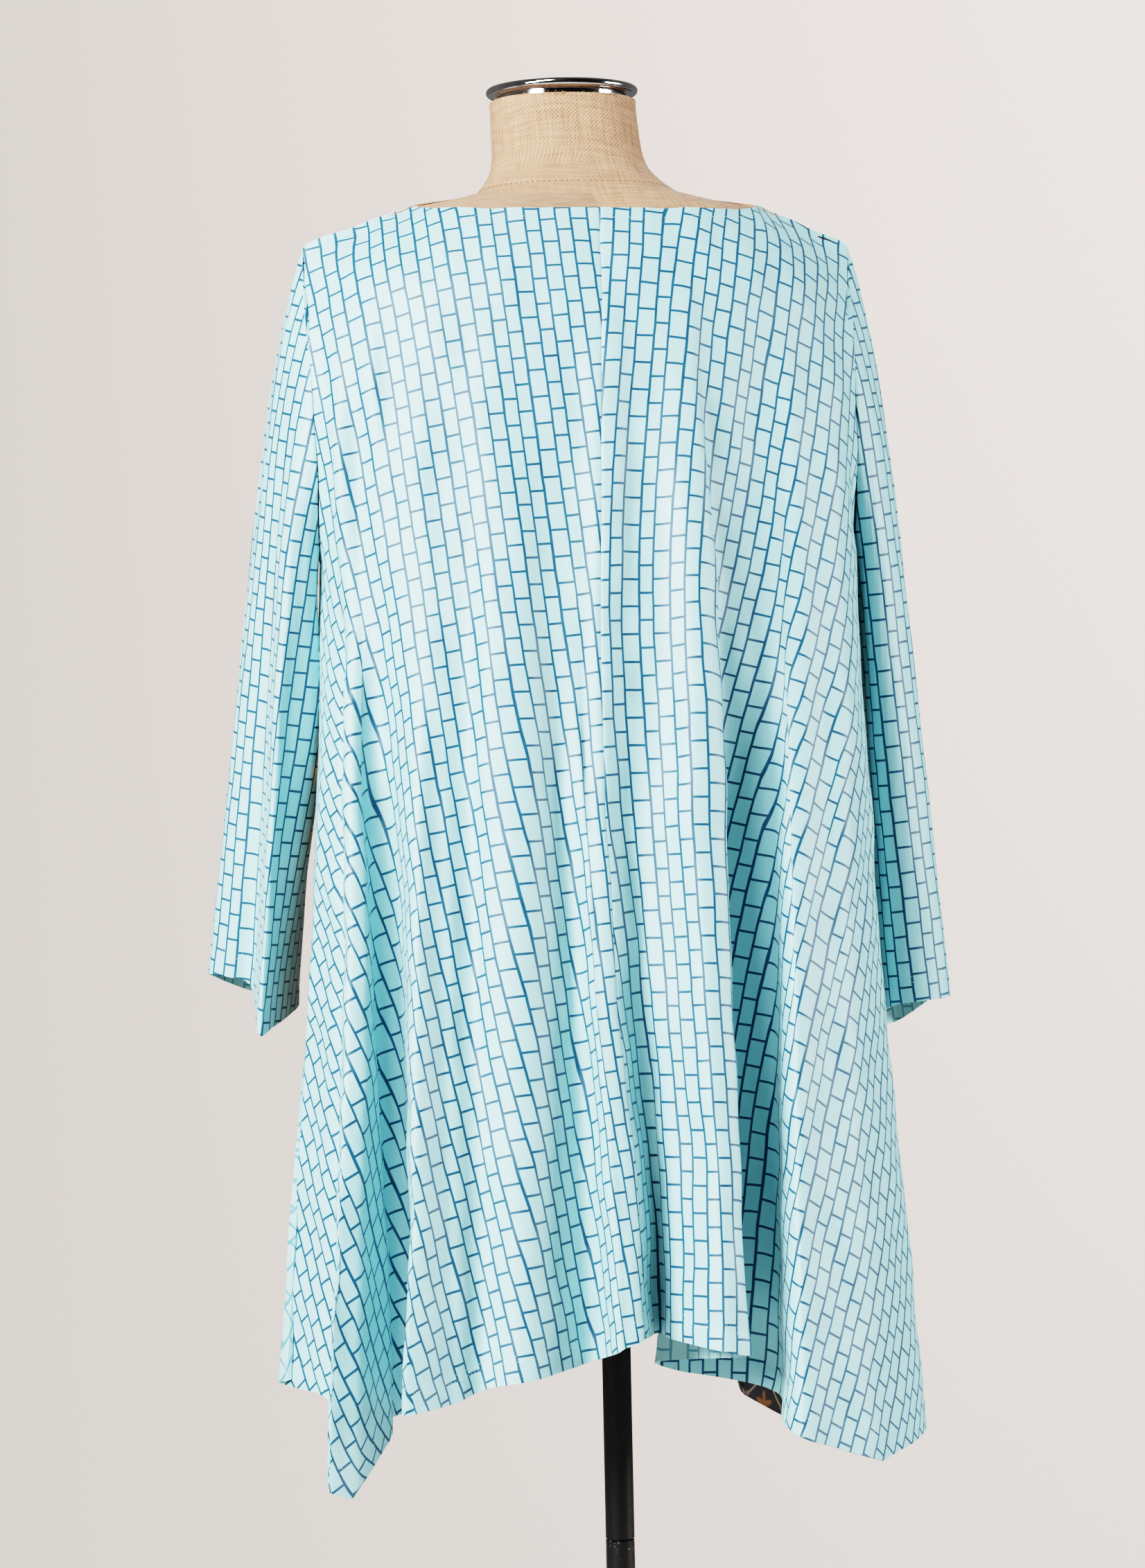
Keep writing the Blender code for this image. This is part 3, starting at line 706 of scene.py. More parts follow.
def lay_print(mesh: bpy.types.Mesh, places: Array) -> None:
    """Gives each corner of a mesh its place on the cloth's print, in millimetres."""
    layer = mesh.uv_layers.new(name="print")
    layer.data.foreach_set("uv", (places * MM).astype(np.float32).ravel())


def laid_flat(points: Array, row_step: int, column_step: int) -> Array:
    """Where each point of a cut piece lies when the piece is laid flat, in millimetres.

    A coarser copy of the grid is flattened by Blender's own unwrapping and brought to real size,
    and smooth curves carry its points to the full grid.

    Args:
        points: the grid of points, whose rows and columns fit the steps.
        row_step: every how many rows the coarse copy has one.
        column_step: the same for columns.

    Returns:
        (rows, columns, 2), with its first row at the top.
    """
    coarse = points[::row_step, ::column_step]
    rows, columns = coarse.shape[:2]
    mesh = new_mesh("flat_pattern", coarse.reshape(-1, 3), quads(numbered(rows, columns)))
    mesh.uv_layers.new(name="flat")
    piece = to_object("flat_pattern", mesh)
    bpy.context.view_layer.update()
    bpy.context.view_layer.objects.active = piece
    piece.select_set(True)
    bpy.ops.object.mode_set(mode="EDIT")
    bpy.ops.mesh.select_all(action="SELECT")
    bpy.ops.uv.unwrap(method="ANGLE_BASED", margin=0.0)
    bpy.ops.object.mode_set(mode="OBJECT")
    uv = np.empty(len(mesh.loops) * 2, np.float32)
    mesh.uv_layers["flat"].data.foreach_get("uv", uv)
    corner = np.empty(len(mesh.loops), np.int32)
    mesh.loops.foreach_get("vertex_index", corner)
    flat = np.zeros((rows * columns, 2))
    flat[corner] = uv.reshape(-1, 2)
    flat = flat.reshape(rows, columns, 2)
    bpy.data.objects.remove(piece)
    bpy.data.meshes.remove(mesh)
    real = running_length(coarse, 0)[-1].sum() + running_length(coarse, 1)[:, -1].sum()
    drawn = running_length(flat, 0)[-1].sum() + running_length(flat, 1)[:, -1].sum()
    flat *= real / drawn
    down = np.arange(points.shape[0]) / row_step
    over = np.arange(points.shape[1]) / column_step
    return read_between(flowing_curve, flat, down, over)


def turned_upright(flat: Array, column: int, top: int, low: int) -> Array:
    """Turns and moves a flat piece so that one of its columns stands upright at u = 0.

    Args:
        flat: the flat piece.
        column: the column that is stood upright.
        top: the row that the column is taken from.
        low: the row that the column is taken to.
    """
    line = flat[low, column] - flat[top, column]
    angle = math.atan2(line[0], -line[1])
    cosine, sine = math.cos(angle), math.sin(angle)
    return (flat - flat[0, column]) @ np.array([[cosine, -sine], [sine, cosine]])


def grain_lean(points: Array) -> tuple[Array, Array]:
    """The grain's lean in degrees at each point of the back, and how firmly the print keeps to it.

    The lean passes from zone to zone over a few millimetres, where the print may give.
    """
    x, z = points[..., 0], points[..., 2]
    lean, firm = np.zeros_like(x), np.ones_like(x)
    for i, zone in enumerate(BACK_GRAIN):
        edge, value = stops_at(z, zone.left)[0], stops_at(z, zone.lean)[0]
        lean += (value - lean) * (1 + np.tanh((x - edge) / GRAIN_BLEND)) / 2
        if i:
            firm -= (1 - LEAST_FIRM) * trough(x - edge, GIVE_WIDTH)
    return lean, np.maximum(firm, LEAST_FIRM)


def print_places(points: Array, lean: Array, firm: Array) -> Array:
    """Where the print puts each point of a panel, in millimetres of the print.

    Over the surface, u should grow square to the grain and v up along it, by a millimetre for each
    millimetre. The grain leans by its angle from the line that looks upright from behind. u and v
    are the grids whose differences come nearest to that, by least squares, found by conjugate
    gradients on two coarse copies of the grid and then on the grid itself. Cloth that faces away
    counts for little, so that the print gives there first.

    Args:
        points: the grid of points.
        lean: the grain's lean, in degrees.
        firm: the weight of each point.

    Returns:
        (rows, columns, 2), in millimetres.
    """
    places = None
    for row_step, column_step, rounds in FIT_STAGES:
        part = (slice(None, None, row_step), slice(None, None, column_step))
        some = points[part]
        if places is not None:
            sizes = zip(places.shape[:2], some.shape[:2])
            at = (np.linspace(0, count - 1, size) for count, size in sizes)
            places = read_between(monotone_curve, places, *at)
        places = print_fit(some, lean[part], firm[part], places, rounds)
    return places


def print_fit(points: Array, lean: Array, firm: Array, places: Array | None, rounds: int) -> Array:
    """The least squares of print_places on one grid, from the places found before, if any."""
    normals = grid_normals(points, False)
    right = np.array([math.cos(VIEW_TURN), math.sin(VIEW_TURN), 0])
    ahead = np.array([-right[1], right[0], 0])
    facing = (normals * ahead).sum(2)
    facing = np.where(facing < 0, -1, 1) * np.maximum(np.abs(facing), LEAST_FACING)
    slope = np.tan(np.radians(lean))
    deep = -(slope * (normals * right).sum(2) - normals[..., 2]) / facing
    grain = slope[..., None] * right + deep[..., None] * ahead - (0, 0, 1)
    grain = unit(grain - normals * (grain * normals).sum(2, keepdims=True))
    level = np.cross(grain, normals)
    level *= np.sign((level * np.gradient(points, axis=1)).sum(2, keepdims=True))
    ways = np.stack([level, -grain], 2)
    tall = np.linalg.norm(np.gradient(points, axis=0), axis=2)
    wide = np.linalg.norm(np.gradient(points, axis=1), axis=2)
    firm = firm * np.maximum((normals * ahead).sum(2) ** 2, LEAST_FIRM_AWAY)
    steps, weights = [], []
    for axis, ratio in ((0, wide / tall), (1, tall / wide)):
        count = points.shape[axis]
        before, after = (np.take(ways, range(i, count - 1 + i), axis) for i in (0, 1))
        steps.append(((before + after) / 2 * np.diff(points, axis=axis)[:, :, None]).sum(3))
        before, after = (np.take(firm * ratio, range(i, count - 1 + i), axis) for i in (0, 1))
        weights.append(((before + after) / 2)[..., None])

    def gathered(down: Array, over: Array) -> Array:
        """Each point's weighted steps in, less its steps out."""
        out = np.zeros((*points.shape[:2], 2))
        down, over = down * weights[0], over * weights[1]
        out[1:] += down
        out[:-1] -= down
        out[:, 1:] += over
        out[:, :-1] -= over
        return out

    if places is None:
        places = np.zeros((*points.shape[:2], 2))
    left = gathered(steps[0] - np.diff(places, axis=0), steps[1] - np.diff(places, axis=1))
    way, size = left, (left**2).sum((0, 1))
    for _ in range(rounds):
        spread = gathered(np.diff(way, axis=0), np.diff(way, axis=1))
        share = size / (way * spread).sum((0, 1))
        places = places + share * way
        left = left - share * spread
        size, before = (left**2).sum((0, 1)), size
        way = left + size / before * way
    return places


def carried_round(printed: Array, flat: Array, points: Array) -> Array:
    """The print carried on unstretched to the first column, from where the cloth turns away.

    There the print follows the flat cloth, turned in each row as the print is turned where the
    cloth begins to turn away, and evened out down the rows.

    Args:
        printed: the print's places, as (rows, columns, 2).
        flat: the flat cloth's places.
        points: the cloth's points.

    Returns:
        The print's places, with the columns that turn away changed.
    """
    ahead = (-math.sin(VIEW_TURN), math.cos(VIEW_TURN), 0)
    facing = np.abs((grid_normals(points, False) * ahead).sum(2))
    start = int(np.argmax(facing[len(points) // 3 :].mean(0) > ROUND_FACING))
    print_at, flat_at = (grid[..., 0] + 1j * grid[..., 1] for grid in (printed, flat))
    further = start + ROUND_TURN_COLUMNS
    turn = (print_at[:, further] - print_at[:, start]) / (flat_at[:, further] - flat_at[:, start])
    turn = blurred(turn / np.abs(turn), 9, 0)[:, None]
    here = slice(start, start + 1)
    places = print_at[:, here] + turn * (flat_at[:, :start] - flat_at[:, here])
    printed = printed.copy()
    printed[:, :start] = np.stack([places.real, places.imag], -1)
    return printed


@dataclass
class Panel:
    """A grid of cloth: rows down it and columns across it, with its outward normals."""

    name: str
    points: Array
    normals: Array
    flat: Array
    printed: Array
    closed: bool = False
    flipped: bool = False

    def piece(self, thickness: Array) -> bpy.types.Object:
        """A closed shell: the outer grid, an inner grid along the normals, and rims between.

        Args:
            thickness: the cloth's thickness at each point, in millimetres.
        """
        rows, columns = self.points.shape[:2]
        inner = self.points - self.normals * thickness[..., None]
        index = numbered(rows, columns)
        joined = wrapped(index) if self.closed else index
        grids = []
        for grid, shift in ((joined, index.size), (numbered(rows, self.flat.shape[1]), 0)):
            outer = quads(grid)
            shell = [outer, outer[:, [0, 3, 2, 1]] + shift]
            rims = [grid[0], grid[-1][::-1]]
            if not self.closed:
                rims += [grid[:, -1], grid[::-1, 0]]
            for rim in rims:
                shell.append(np.stack([rim[:-1], rim[1:], rim[1:] + shift, rim[:-1] + shift], -1))
            grids.append(shell)
        faces, spots = (np.concatenate(shell) for shell in grids)
        if self.flipped:
            faces, spots = faces[:, ::-1], spots[:, ::-1]
        points = np.concatenate([self.points.reshape(-1, 3), inner.reshape(-1, 3)])
        points = points + (FORM_OFFSET_X, 0, 0)
        mesh = new_mesh(self.name, points, faces)
        lay_print(mesh, self.printed.reshape(-1, 2)[spots])
        wrong_side = np.zeros(len(faces), np.int32)
        count = len(outer)
        wrong_side[count : 2 * count] = 1
        mesh.polygons.foreach_set("material_index", wrong_side)
        return to_object(self.name, mesh)

    def flat_size(self) -> tuple[float, float, float]:
        """Width, length and area of the cut piece, in metres."""
        size = self.flat.reshape(-1, 2).max(0) - self.flat.reshape(-1, 2).min(0)
        a, b = self.flat[1:, 1:] - self.flat[:-1, :-1], self.flat[1:, :-1] - self.flat[:-1, 1:]
        area = np.abs(a[..., 0] * b[..., 1] - a[..., 1] * b[..., 0]).sum() / 2
        return size[0] * MM, size[1] * MM, area * MM * MM


# How far past a seamed edge each line of its allowance lies, and how deep.
ALLOWANCE = ((0.18, 0.22), (0.30, 0.75), (-0.1, 2.4), (-1.1, 5.5))
ALLOWANCE_WALL = 0.6


def with_allowances(panel: Panel, thickness: Array) -> tuple[Panel, Array]:
    """Turns a panel's seamed edges inwards, as an allowance pressed to the wrong side.

    A body panel is turned in along its two long edges, and a sleeve along its armhole. Each step
    of ALLOWANCE is how far a new line of points lies past the edge and how deep it lies.

    Args:
        panel: the cloth, whose edge points stay where they are.
        thickness: its thickness at each point.

    Returns:
        The panel with the lines added, and its thickness.
    """
    grids = [panel.points, panel.normals, panel.flat, panel.printed, thickness[..., None]]
    if not panel.closed:
        grids = [np.moveaxis(grid, 1, 0) for grid in grids]
    ends = (0,) if panel.closed else (0, -1)
    for end in ends:
        points, normals, flat, printed, wall = grids
        inner = 1 if end == 0 else -2
        past = points[end] - points[inner]
        for direction in (normals[end], unit(np.gradient(points[end], axis=0))):
            past = past - direction * (past * direction).sum(1, keepdims=True)
        past = unit(past)
        flat_past = unit(flat[end] - flat[inner])
        print_past = unit((printed[end] - printed[inner]).mean(0))
        lines = [
            (
                points[end] + past * out - normals[end] * deep,
                unit(past + normals[end] * max(0.0, 1 - deep)),
                flat[end] + flat_past * (out + deep),
                printed[end] + print_past * (out + deep),
                np.full_like(wall[end], ALLOWANCE_WALL),
            )
            for out, deep in ALLOWANCE
        ]
        added = [np.stack(line) for line in zip(*lines)]
        if end == 0:
            grids = [np.concatenate([new[::-1], old]) for new, old in zip(added, grids)]
        else:
            grids = [np.concatenate([old, new]) for new, old in zip(added, grids)]
    if not panel.closed:
        grids = [np.moveaxis(grid, 0, 1) for grid in grids]
    return Panel(panel.name, *grids[:4], panel.closed, panel.flipped), grids[4][..., 0]


@dataclass(frozen=True)
class StitchLine:
    """A row of machine stitches along a path over cloth."""

    pitch: float = 3.1
    length: float = 2.4
    thread: float = 0.42

    def bits(self, path: Array, normals: Array) -> tuple[Array, Array]:
        """Small pointed lozenges of thread, one for each stitch.

        Each has a point before and behind it on the path, and four around its middle.

        Args:
            path: (count, 3) points along the row, in millimetres.
            normals: the cloth's outward normals there.

        Returns:
            Points and triangles.
        """
        run = running_length(path, 0)
        at = np.arange(self.pitch / 2, run[-1] - self.pitch / 2, self.pitch)
        middle, along, out = (
            np.stack([np.interp(at, run, values[:, i]) for i in range(3)], -1)
            for values in (path, np.gradient(path, axis=0), normals)
        )
        along, out = unit(along), unit(out)
        side = np.cross(along, out)
        half, thick = self.length / 2, self.thread / 2
        ends, rims = half * along, (thick * out, thick * side)
        corners = np.stack([-ends, ends, rims[0], rims[1], -rims[0], -rims[1]], 1)
        points = (middle[:, None] + corners).reshape(-1, 3)
        ring = [(2 + i, 2 + (i + 1) % 4) for i in range(4)]
        shape = [[0, i, j] for i, j in ring] + [[1, j, i] for i, j in ring]
        return points, repeated(shape, 6, len(at))


def repeated(shape: list[list[int]], points: int, count: int) -> Array:
    """One small shape's triangles, repeated for a count of such shapes of so many points each."""
    return (np.array(shape)[None] + points * np.arange(count)[:, None, None]).reshape(-1, 3)


def thread_piece(name: str, bits: list[tuple[Array, Array]]) -> bpy.types.Object:
    """One piece of thread from several lots of points and triangles, moved onto the stand."""
    starts = np.cumsum([0] + [len(points) for points, _ in bits])
    points = np.concatenate([points for points, _ in bits]) + (FORM_OFFSET_X, 0, 0)
    faces = np.concatenate([faces + start for (_, faces), start in zip(bits, starts)])
    return to_object(name, new_mesh(name, points, faces, 180))


def row_at(panel: Panel, length: Array, target: Any) -> tuple[Array, Array]:
    """The path across a panel where a length along its columns has a given value.

    Args:
        panel: the cloth.
        length: a length at each grid point, rising down every column.
        target: the value, or one for each column.

    Returns:
        The path's points and normals, one for each column.
    """
    target = np.broadcast_to(target, length.shape[1])
    column = np.arange(length.shape[1])
    low = np.clip((length < target).sum(0), 1, length.shape[0] - 1)
    before, after = length[low - 1, column], length[low, column]
    share = np.clip((target - before) / np.maximum(after - before, 1e-6), 0, 1)[:, None]
    return tuple(
        grid[low - 1, column] * (1 - share) + grid[low, column] * share
        for grid in (panel.points, panel.normals)
    )


def place(
    tree: Tree, kind: str, settings: dict | None = None, *values: Any, **named: Any
) -> bpy.types.Node:
    """Adds a node, sets its options and fills its inputs.

    Args:
        tree: the node tree.
        kind: the node's type name, without its ShaderNode prefix.
        settings: its options by name.
        *values: sockets to link or numbers to set, by the input's place. None leaves one alone.
        **named: the same by the input's name, with _ for each space.

    Returns:
        The node.
    """
    node = tree.nodes.new("ShaderNode" + kind)
    for name, value in (settings or {}).items():
        setattr(node, name, value)
    filled: list[tuple[Any, Any]] = list(enumerate(values))
    filled += [(name.replace("_", " "), value) for name, value in named.items()]
    for key, value in filled:
        if isinstance(value, Socket):
            tree.links.new(value, node.inputs[key])
        elif value is not None:
            node.inputs[key].default_value = value
    return node


def calc(tree: Tree, operation: str, *values: Any) -> Socket:
    """The result of one sum on numbers."""
    return place(tree, "Math", {"operation": operation}, *values).outputs[0]


def vector(tree: Tree, operation: str, *values: Any, **named: Any) -> Socket:
    """The result of one sum on vectors: a vector, or for a length or a dot product a number."""
    node = place(tree, "VectorMath", {"operation": operation}, *values, **named)
    return node.outputs[1 if operation in ("LENGTH", "DOT_PRODUCT") else 0]


def split(tree: Tree, value: Socket) -> Any:
    """A vector's three numbers, as sockets."""
    return place(tree, "SeparateXYZ", None, value).outputs


def blend(tree: Tree, share: Any, first: Any, second: Any) -> Socket:
    """The first colour passing into the second as share goes from 0 to 1."""
    return place(tree, "Mix", {"data_type": "RGBA"}, share, *[None] * 5, first, second).outputs[2]


def noise(tree: Tree, cloth: Socket, scale: float, detail: float) -> Any:
    """A flat noise's outputs: a number and a colour."""
    kind = {"noise_dimensions": "2D"}
    return place(tree, "TexNoise", kind, Vector=cloth, Scale=scale, Detail=detail).outputs


def cloth_millimetres(tree: Tree) -> Socket:
    """The place on the cloth as it was printed or woven, in millimetres."""
    uv = place(tree, "UVMap", {"uv_map": "print"}).outputs[0]
    return vector(tree, "SCALE", uv, Scale=1 / MM)


def hex_colour(code: str) -> tuple[float, float, float, float]:
    """Linear red, green, blue and alpha of an sRGB hex colour."""
    shares = [int(code[i : i + 2], 16) / 255 for i in (1, 3, 5)]
    linear = [c / 12.92 if c <= 0.04045 else ((c + 0.055) / 1.055) ** 2.4 for c in shares]
    return (*linear, 1.0)


@dataclass(frozen=True)
class Finish:
    """What every finish has: its name and the shader's plain values."""

    name: str
    roughness: float = 0.6
    metallic: float = 0.0
    ior: float = 1.5
    sheen: float = 0.0

    def material(self) -> bpy.types.Material:
        """The finish as a material."""
        material = bpy.data.materials.new(self.name)
        material.use_nodes = True
        tree = material.node_tree
        shader = tree.nodes["Principled BSDF"]
        for name, value in (
            ("Roughness", self.roughness),
            ("Metallic", self.metallic),
            ("IOR", self.ior),
            ("Sheen Weight", self.sheen),
            ("Sheen Roughness", 0.4),
        ):
            shader.inputs[name].default_value = value
        self.dress(tree, shader)
        return material

    def dress(self, tree: Tree, shader: bpy.types.Node) -> None:
        """Adds the finish's own pattern."""


@dataclass(frozen=True)
class BrickJersey(Finish):
    """Smooth viscose jersey, screen printed with upright bricks in running bond.

    The ground shows the knit's fine upright streaks, and the printed lines waver as ink does on a
    cloth that gives.
    """

    ground: str = "#A6D9DF"
    ground_deep: str = "#93CAD3"
    line: str = "#10405C"
    line_faint: str = "#235E7C"
    brick_height: float = 20.0
    brick_width: float = 11.5
    line_width: float = 2.3
    wale: float = 0.9

    def dress(self, tree: Tree, shader: bpy.types.Node) -> None:
        """Bricks on the flat cloth's own millimetres, under streaks and a fine rib of wales.

        The node's bricks lie on their side, so u and v change places. One is half a unit long.
        """
        cloth = cloth_millimetres(tree)
        u, v, _ = split(tree, cloth)
        drift = place(tree, "TexNoise", {"noise_dimensions": "1D"}, W=u, Scale=1 / 21, Detail=0.0)
        drift = calc(tree, "MULTIPLY_ADD", drift.outputs[0], 5.0, -2.5)
        waver = noise(tree, cloth, 1 / 24, 1.0)[1]
        waver = vector(tree, "MULTIPLY_ADD", waver, (0.9, 0.9, 0), (-0.45, -0.45, 0))
        right, up, _ = split(tree, waver)
        u_moved = calc(tree, "ADD", calc(tree, "ADD", u, right), drift)
        v_moved = calc(tree, "ADD", v, up)
        brick = place(
            tree,
            "TexBrick",
            {"offset": 0.5, "offset_frequency": 2, "squash": 1.0},
            Vector=place(tree, "CombineXYZ", None, v_moved, u_moved, 0.0).outputs[0],
            Scale=0.5 / self.brick_height,
            Mortar_Size=0.25 * self.line_width / self.brick_height,
            Mortar_Smooth=0.45,
            Brick_Width=0.5,
            Row_Height=0.5 * self.brick_width / self.brick_height,
        )
        streak = noise(tree, vector(tree, "MULTIPLY", cloth, (0.75, 0.035, 0)), 1.0, 3.0)[0]
        tone = calc(tree, "MULTIPLY", streak, 0.65)
        ground = blend(tree, tone, hex_colour(self.ground), hex_colour(self.ground_deep))
        ink = noise(tree, cloth, 1 / 9, 2.0)[0]
        inked = blend(tree, ink, hex_colour(self.line), hex_colour(self.line_faint))
        tree.links.new(blend(tree, brick.outputs[1], ground, inked), shader.inputs["Base Color"])
        knit(tree, shader, cloth, self.wale)


def knit(tree: Tree, shader: bpy.types.Node, cloth: Socket, wale: float) -> None:
    """Fine upright ribs of knitted loops, as a bump, with the pitch given in millimetres."""
    ribs = place(
        tree,
        "TexWave",
        {"wave_type": "BANDS", "bands_direction": "X", "wave_profile": "SIN"},
        Vector=cloth,
        Scale=2 * math.pi / 20 / wale,
        Distortion=0.6,
        Detail=1.0,
        Detail_Scale=1.5,
    )
    bump = place(tree, "Bump", None, Strength=0.25, Distance=0.12 * MM, Height=ribs.outputs[1])
    tree.links.new(bump.outputs[0], shader.inputs["Normal"])


@dataclass(frozen=True)
class LatticeJersey(Finish):
    """The front's jersey, printed near black with a cream lattice, rosettes and small blossoms."""

    ground: str = "#15151A"
    lattice: str = "#D9C79A"
    rosette: str = "#C9A79E"
    blossom: str = "#DE8B45"
    cell: float = 34.0
    lattice_width: float = 1.8
    wale: float = 0.9

    def dress(self, tree: Tree, shader: bpy.types.Node) -> None:
        """A square lattice turned to 45 degrees, with petals counted round each crossing."""
        cloth = cloth_millimetres(tree)
        axis = {"rotation_type": "Z_AXIS"}
        turned = place(tree, "VectorRotate", axis, Vector=cloth, Angle=math.radians(45)).outputs[0]
        cells = vector(tree, "SCALE", turned, Scale=1 / self.cell)
        colour: Any = hex_colour(self.ground)
        for mask, shade in (
            (self.flower(tree, self.centred(tree, cells, 0.0), 5, 0.21, 0.10), self.blossom),
            (self.bars(tree, cells), self.lattice),
            (self.flower(tree, self.centred(tree, cells, 0.5), 4, 0.13, 0.06), self.rosette),
            (self.flower(tree, self.centred(tree, cells, 0.5), 4, 0.035, 0.0), self.ground),
        ):
            colour = blend(tree, mask, colour, hex_colour(shade))
        tree.links.new(colour, shader.inputs["Base Color"])
        knit(tree, shader, cloth, self.wale)

    def centred(self, tree: Tree, cells: Socket, shift: float) -> Socket:
        """Each cell's own coordinates from its middle, or for a shift of 0.5 from its corner."""
        moved = vector(tree, "ADD", cells, (shift, shift, 0.5))
        return vector(tree, "SUBTRACT", vector(tree, "FRACTION", moved), (0.5, 0.5, 0))

    def bars(self, tree: Tree, cells: Socket) -> Socket:
        """1 on the bars: where either coordinate is within half a bar of a whole number."""
        near = split(tree, vector(tree, "ABSOLUTE", self.centred(tree, cells, 0.5)))
        least = calc(tree, "MINIMUM", near[0], near[1])
        return calc(tree, "LESS_THAN", least, self.lattice_width / 2 / self.cell)

    def flower(self, tree: Tree, cell: Socket, petals: int, radius: float, wave: float) -> Socket:
        """1 inside a flower whose edge is radius + wave * cos(petals * angle) from its centre."""
        right, up, _ = split(tree, cell)
        turns = calc(tree, "MULTIPLY", calc(tree, "ARCTAN2", up, right), float(petals))
        edge = calc(tree, "MULTIPLY_ADD", calc(tree, "COSINE", turns), wave, radius)
        flat = place(tree, "CombineXYZ", None, right, up, 0.0).outputs[0]
        return calc(tree, "LESS_THAN", vector(tree, "LENGTH", flat), edge)


@dataclass(frozen=True)
class Linen(Finish):
    """Plain-woven natural linen, glued tight over the form: uneven threads, over and under."""

    # Weave tones: light on raised points and dark between them is painted highlight and shade; slub
    # tone is real.
    light: str = "#C3A083"
    mid: str = "#A68165"
    dark: str = "#7C5A42"
    thread: float = 1.5

    def dress(self, tree: Tree, shader: bpy.types.Node) -> None:
        """Threads as the product of two waves, on the linen's own millimetres."""
        cloth = cloth_millimetres(tree)
        waver = noise(tree, cloth, 1 / 14, 2.0)[1]
        waver = vector(tree, "MULTIPLY_ADD", waver, (1.6, 1.6, 0), cloth)
        waves = vector(tree, "SINE", vector(tree, "SCALE", waver, Scale=math.pi / self.thread))
        warp, weft, _ = split(tree, waves)
        weave = calc(tree, "MULTIPLY_ADD", calc(tree, "MULTIPLY", warp, weft), 0.5, 0.5)
        slub = calc(
            tree,
            "ADD",
            noise(tree, vector(tree, "MULTIPLY", cloth, (0.45, 0.03, 0)), 1.0, 3.0)[0],
            noise(tree, vector(tree, "MULTIPLY", cloth, (0.03, 0.45, 0)), 1.0, 3.0)[0],
        )
        slub = calc(tree, "MULTIPLY_ADD", slub, 0.7, -0.57)
        # The weave's height, also its bump, sets the tone: painted highlight on raised points,
        # painted shade between, plus real slub tone.
        weave_shade_and_slub_tones = place(tree, "ValToRGB", None, calc(tree, "MULTIPLY_ADD", weave, 0.8, slub))
        weave_shade_and_slub_tones.color_ramp.elements[0].color = hex_colour(self.dark)
        weave_shade_and_slub_tones.color_ramp.elements[1].color = hex_colour(self.light)
        weave_shade_and_slub_tones.color_ramp.elements.new(0.45).color = hex_colour(self.mid)
        tree.links.new(weave_shade_and_slub_tones.outputs[0], shader.inputs["Base Color"])
        bump = place(tree, "Bump", None, Strength=0.7, Distance=0.35 * MM, Height=weave)
        tree.links.new(bump.outputs[0], shader.inputs["Normal"])


@dataclass(frozen=True)
class Chrome(Finish):
    """Bright chrome plate, with faint handling haze."""

    colour: str = "#C9C9CB"

    def dress(self, tree: Tree, shader: bpy.types.Node) -> None:
        """Smears of haze, some 12 mm across, in the roughness."""
        shader.inputs["Base Color"].default_value = hex_colour(self.colour)
        where = place(tree, "TexCoord").outputs["Object"]
        smear = place(tree, "TexNoise", None, Vector=where, Scale=80.0, Detail=3.0).outputs[0]
        low = self.roughness
        rough = place(tree, "MapRange", None, smear, 0.4, 0.75, low, low + 0.12)
        tree.links.new(rough.outputs[0], shader.inputs["Roughness"])


@dataclass(frozen=True)
class BlackPaint(Finish):
    """Satin black enamel on steel tube, with small chips to the metal and a little dust."""

    colour: str = "#1B1B1C"
    metal: str = "#9A9A98"
    chipped_at: float = 0.0
    chipped_reach: float = 30.0

    def dress(self, tree: Tree, shader: bpy.types.Node) -> None:
        """Chips crowd near one height, chipped_at, and thin out over chipped_reach below it."""
        where = place(tree, "TexCoord").outputs["Object"]
        below = calc(tree, "SUBTRACT", split(tree, where)[2], self.chipped_at * MM)
        near = place(tree, "MapRange", None, below, -self.chipped_reach * MM, 0.0, 0.0, 1.0)
        above = place(tree, "MapRange", None, below, 0.0, 2 * MM, 1.0, 0.0)
        near = calc(tree, "MULTIPLY", near.outputs[0], above.outputs[0])
        spots = place(tree, "TexNoise", None, Vector=where, Scale=420.0, Detail=3.0).outputs[0]
        chip = calc(tree, "GREATER_THAN", spots, calc(tree, "MULTIPLY_ADD", near, -0.17, 0.80))
        colour = blend(tree, chip, hex_colour(self.colour), hex_colour(self.metal))
        tree.links.new(colour, shader.inputs["Base Color"])
        dust = place(tree, "TexNoise", None, Vector=where, Scale=130.0, Detail=4.0).outputs[0]
        low = self.roughness
        rough = place(tree, "MapRange", None, dust, 0.3, 0.7, low, low + 0.14)
        tree.links.new(rough.outputs[0], shader.inputs["Roughness"])


@dataclass(frozen=True)
class Thread(Finish):
    """Spun polyester sewing thread, faintly mottled by its twist."""

    colour: str = "#CBE9EA"
    shade: str = "#8FBFC6"

    def dress(self, tree: Tree, shader: bpy.types.Node) -> None:
        """Two tones in specks a third of a stitch long."""
        where = place(tree, "TexCoord").outputs["Object"]
        speck = place(tree, "TexNoise", None, Vector=where, Scale=900.0, Detail=1.0).outputs[0]
        colour = blend(tree, speck, hex_colour(self.colour), hex_colour(self.shade))
        tree.links.new(colour, shader.inputs["Base Color"])


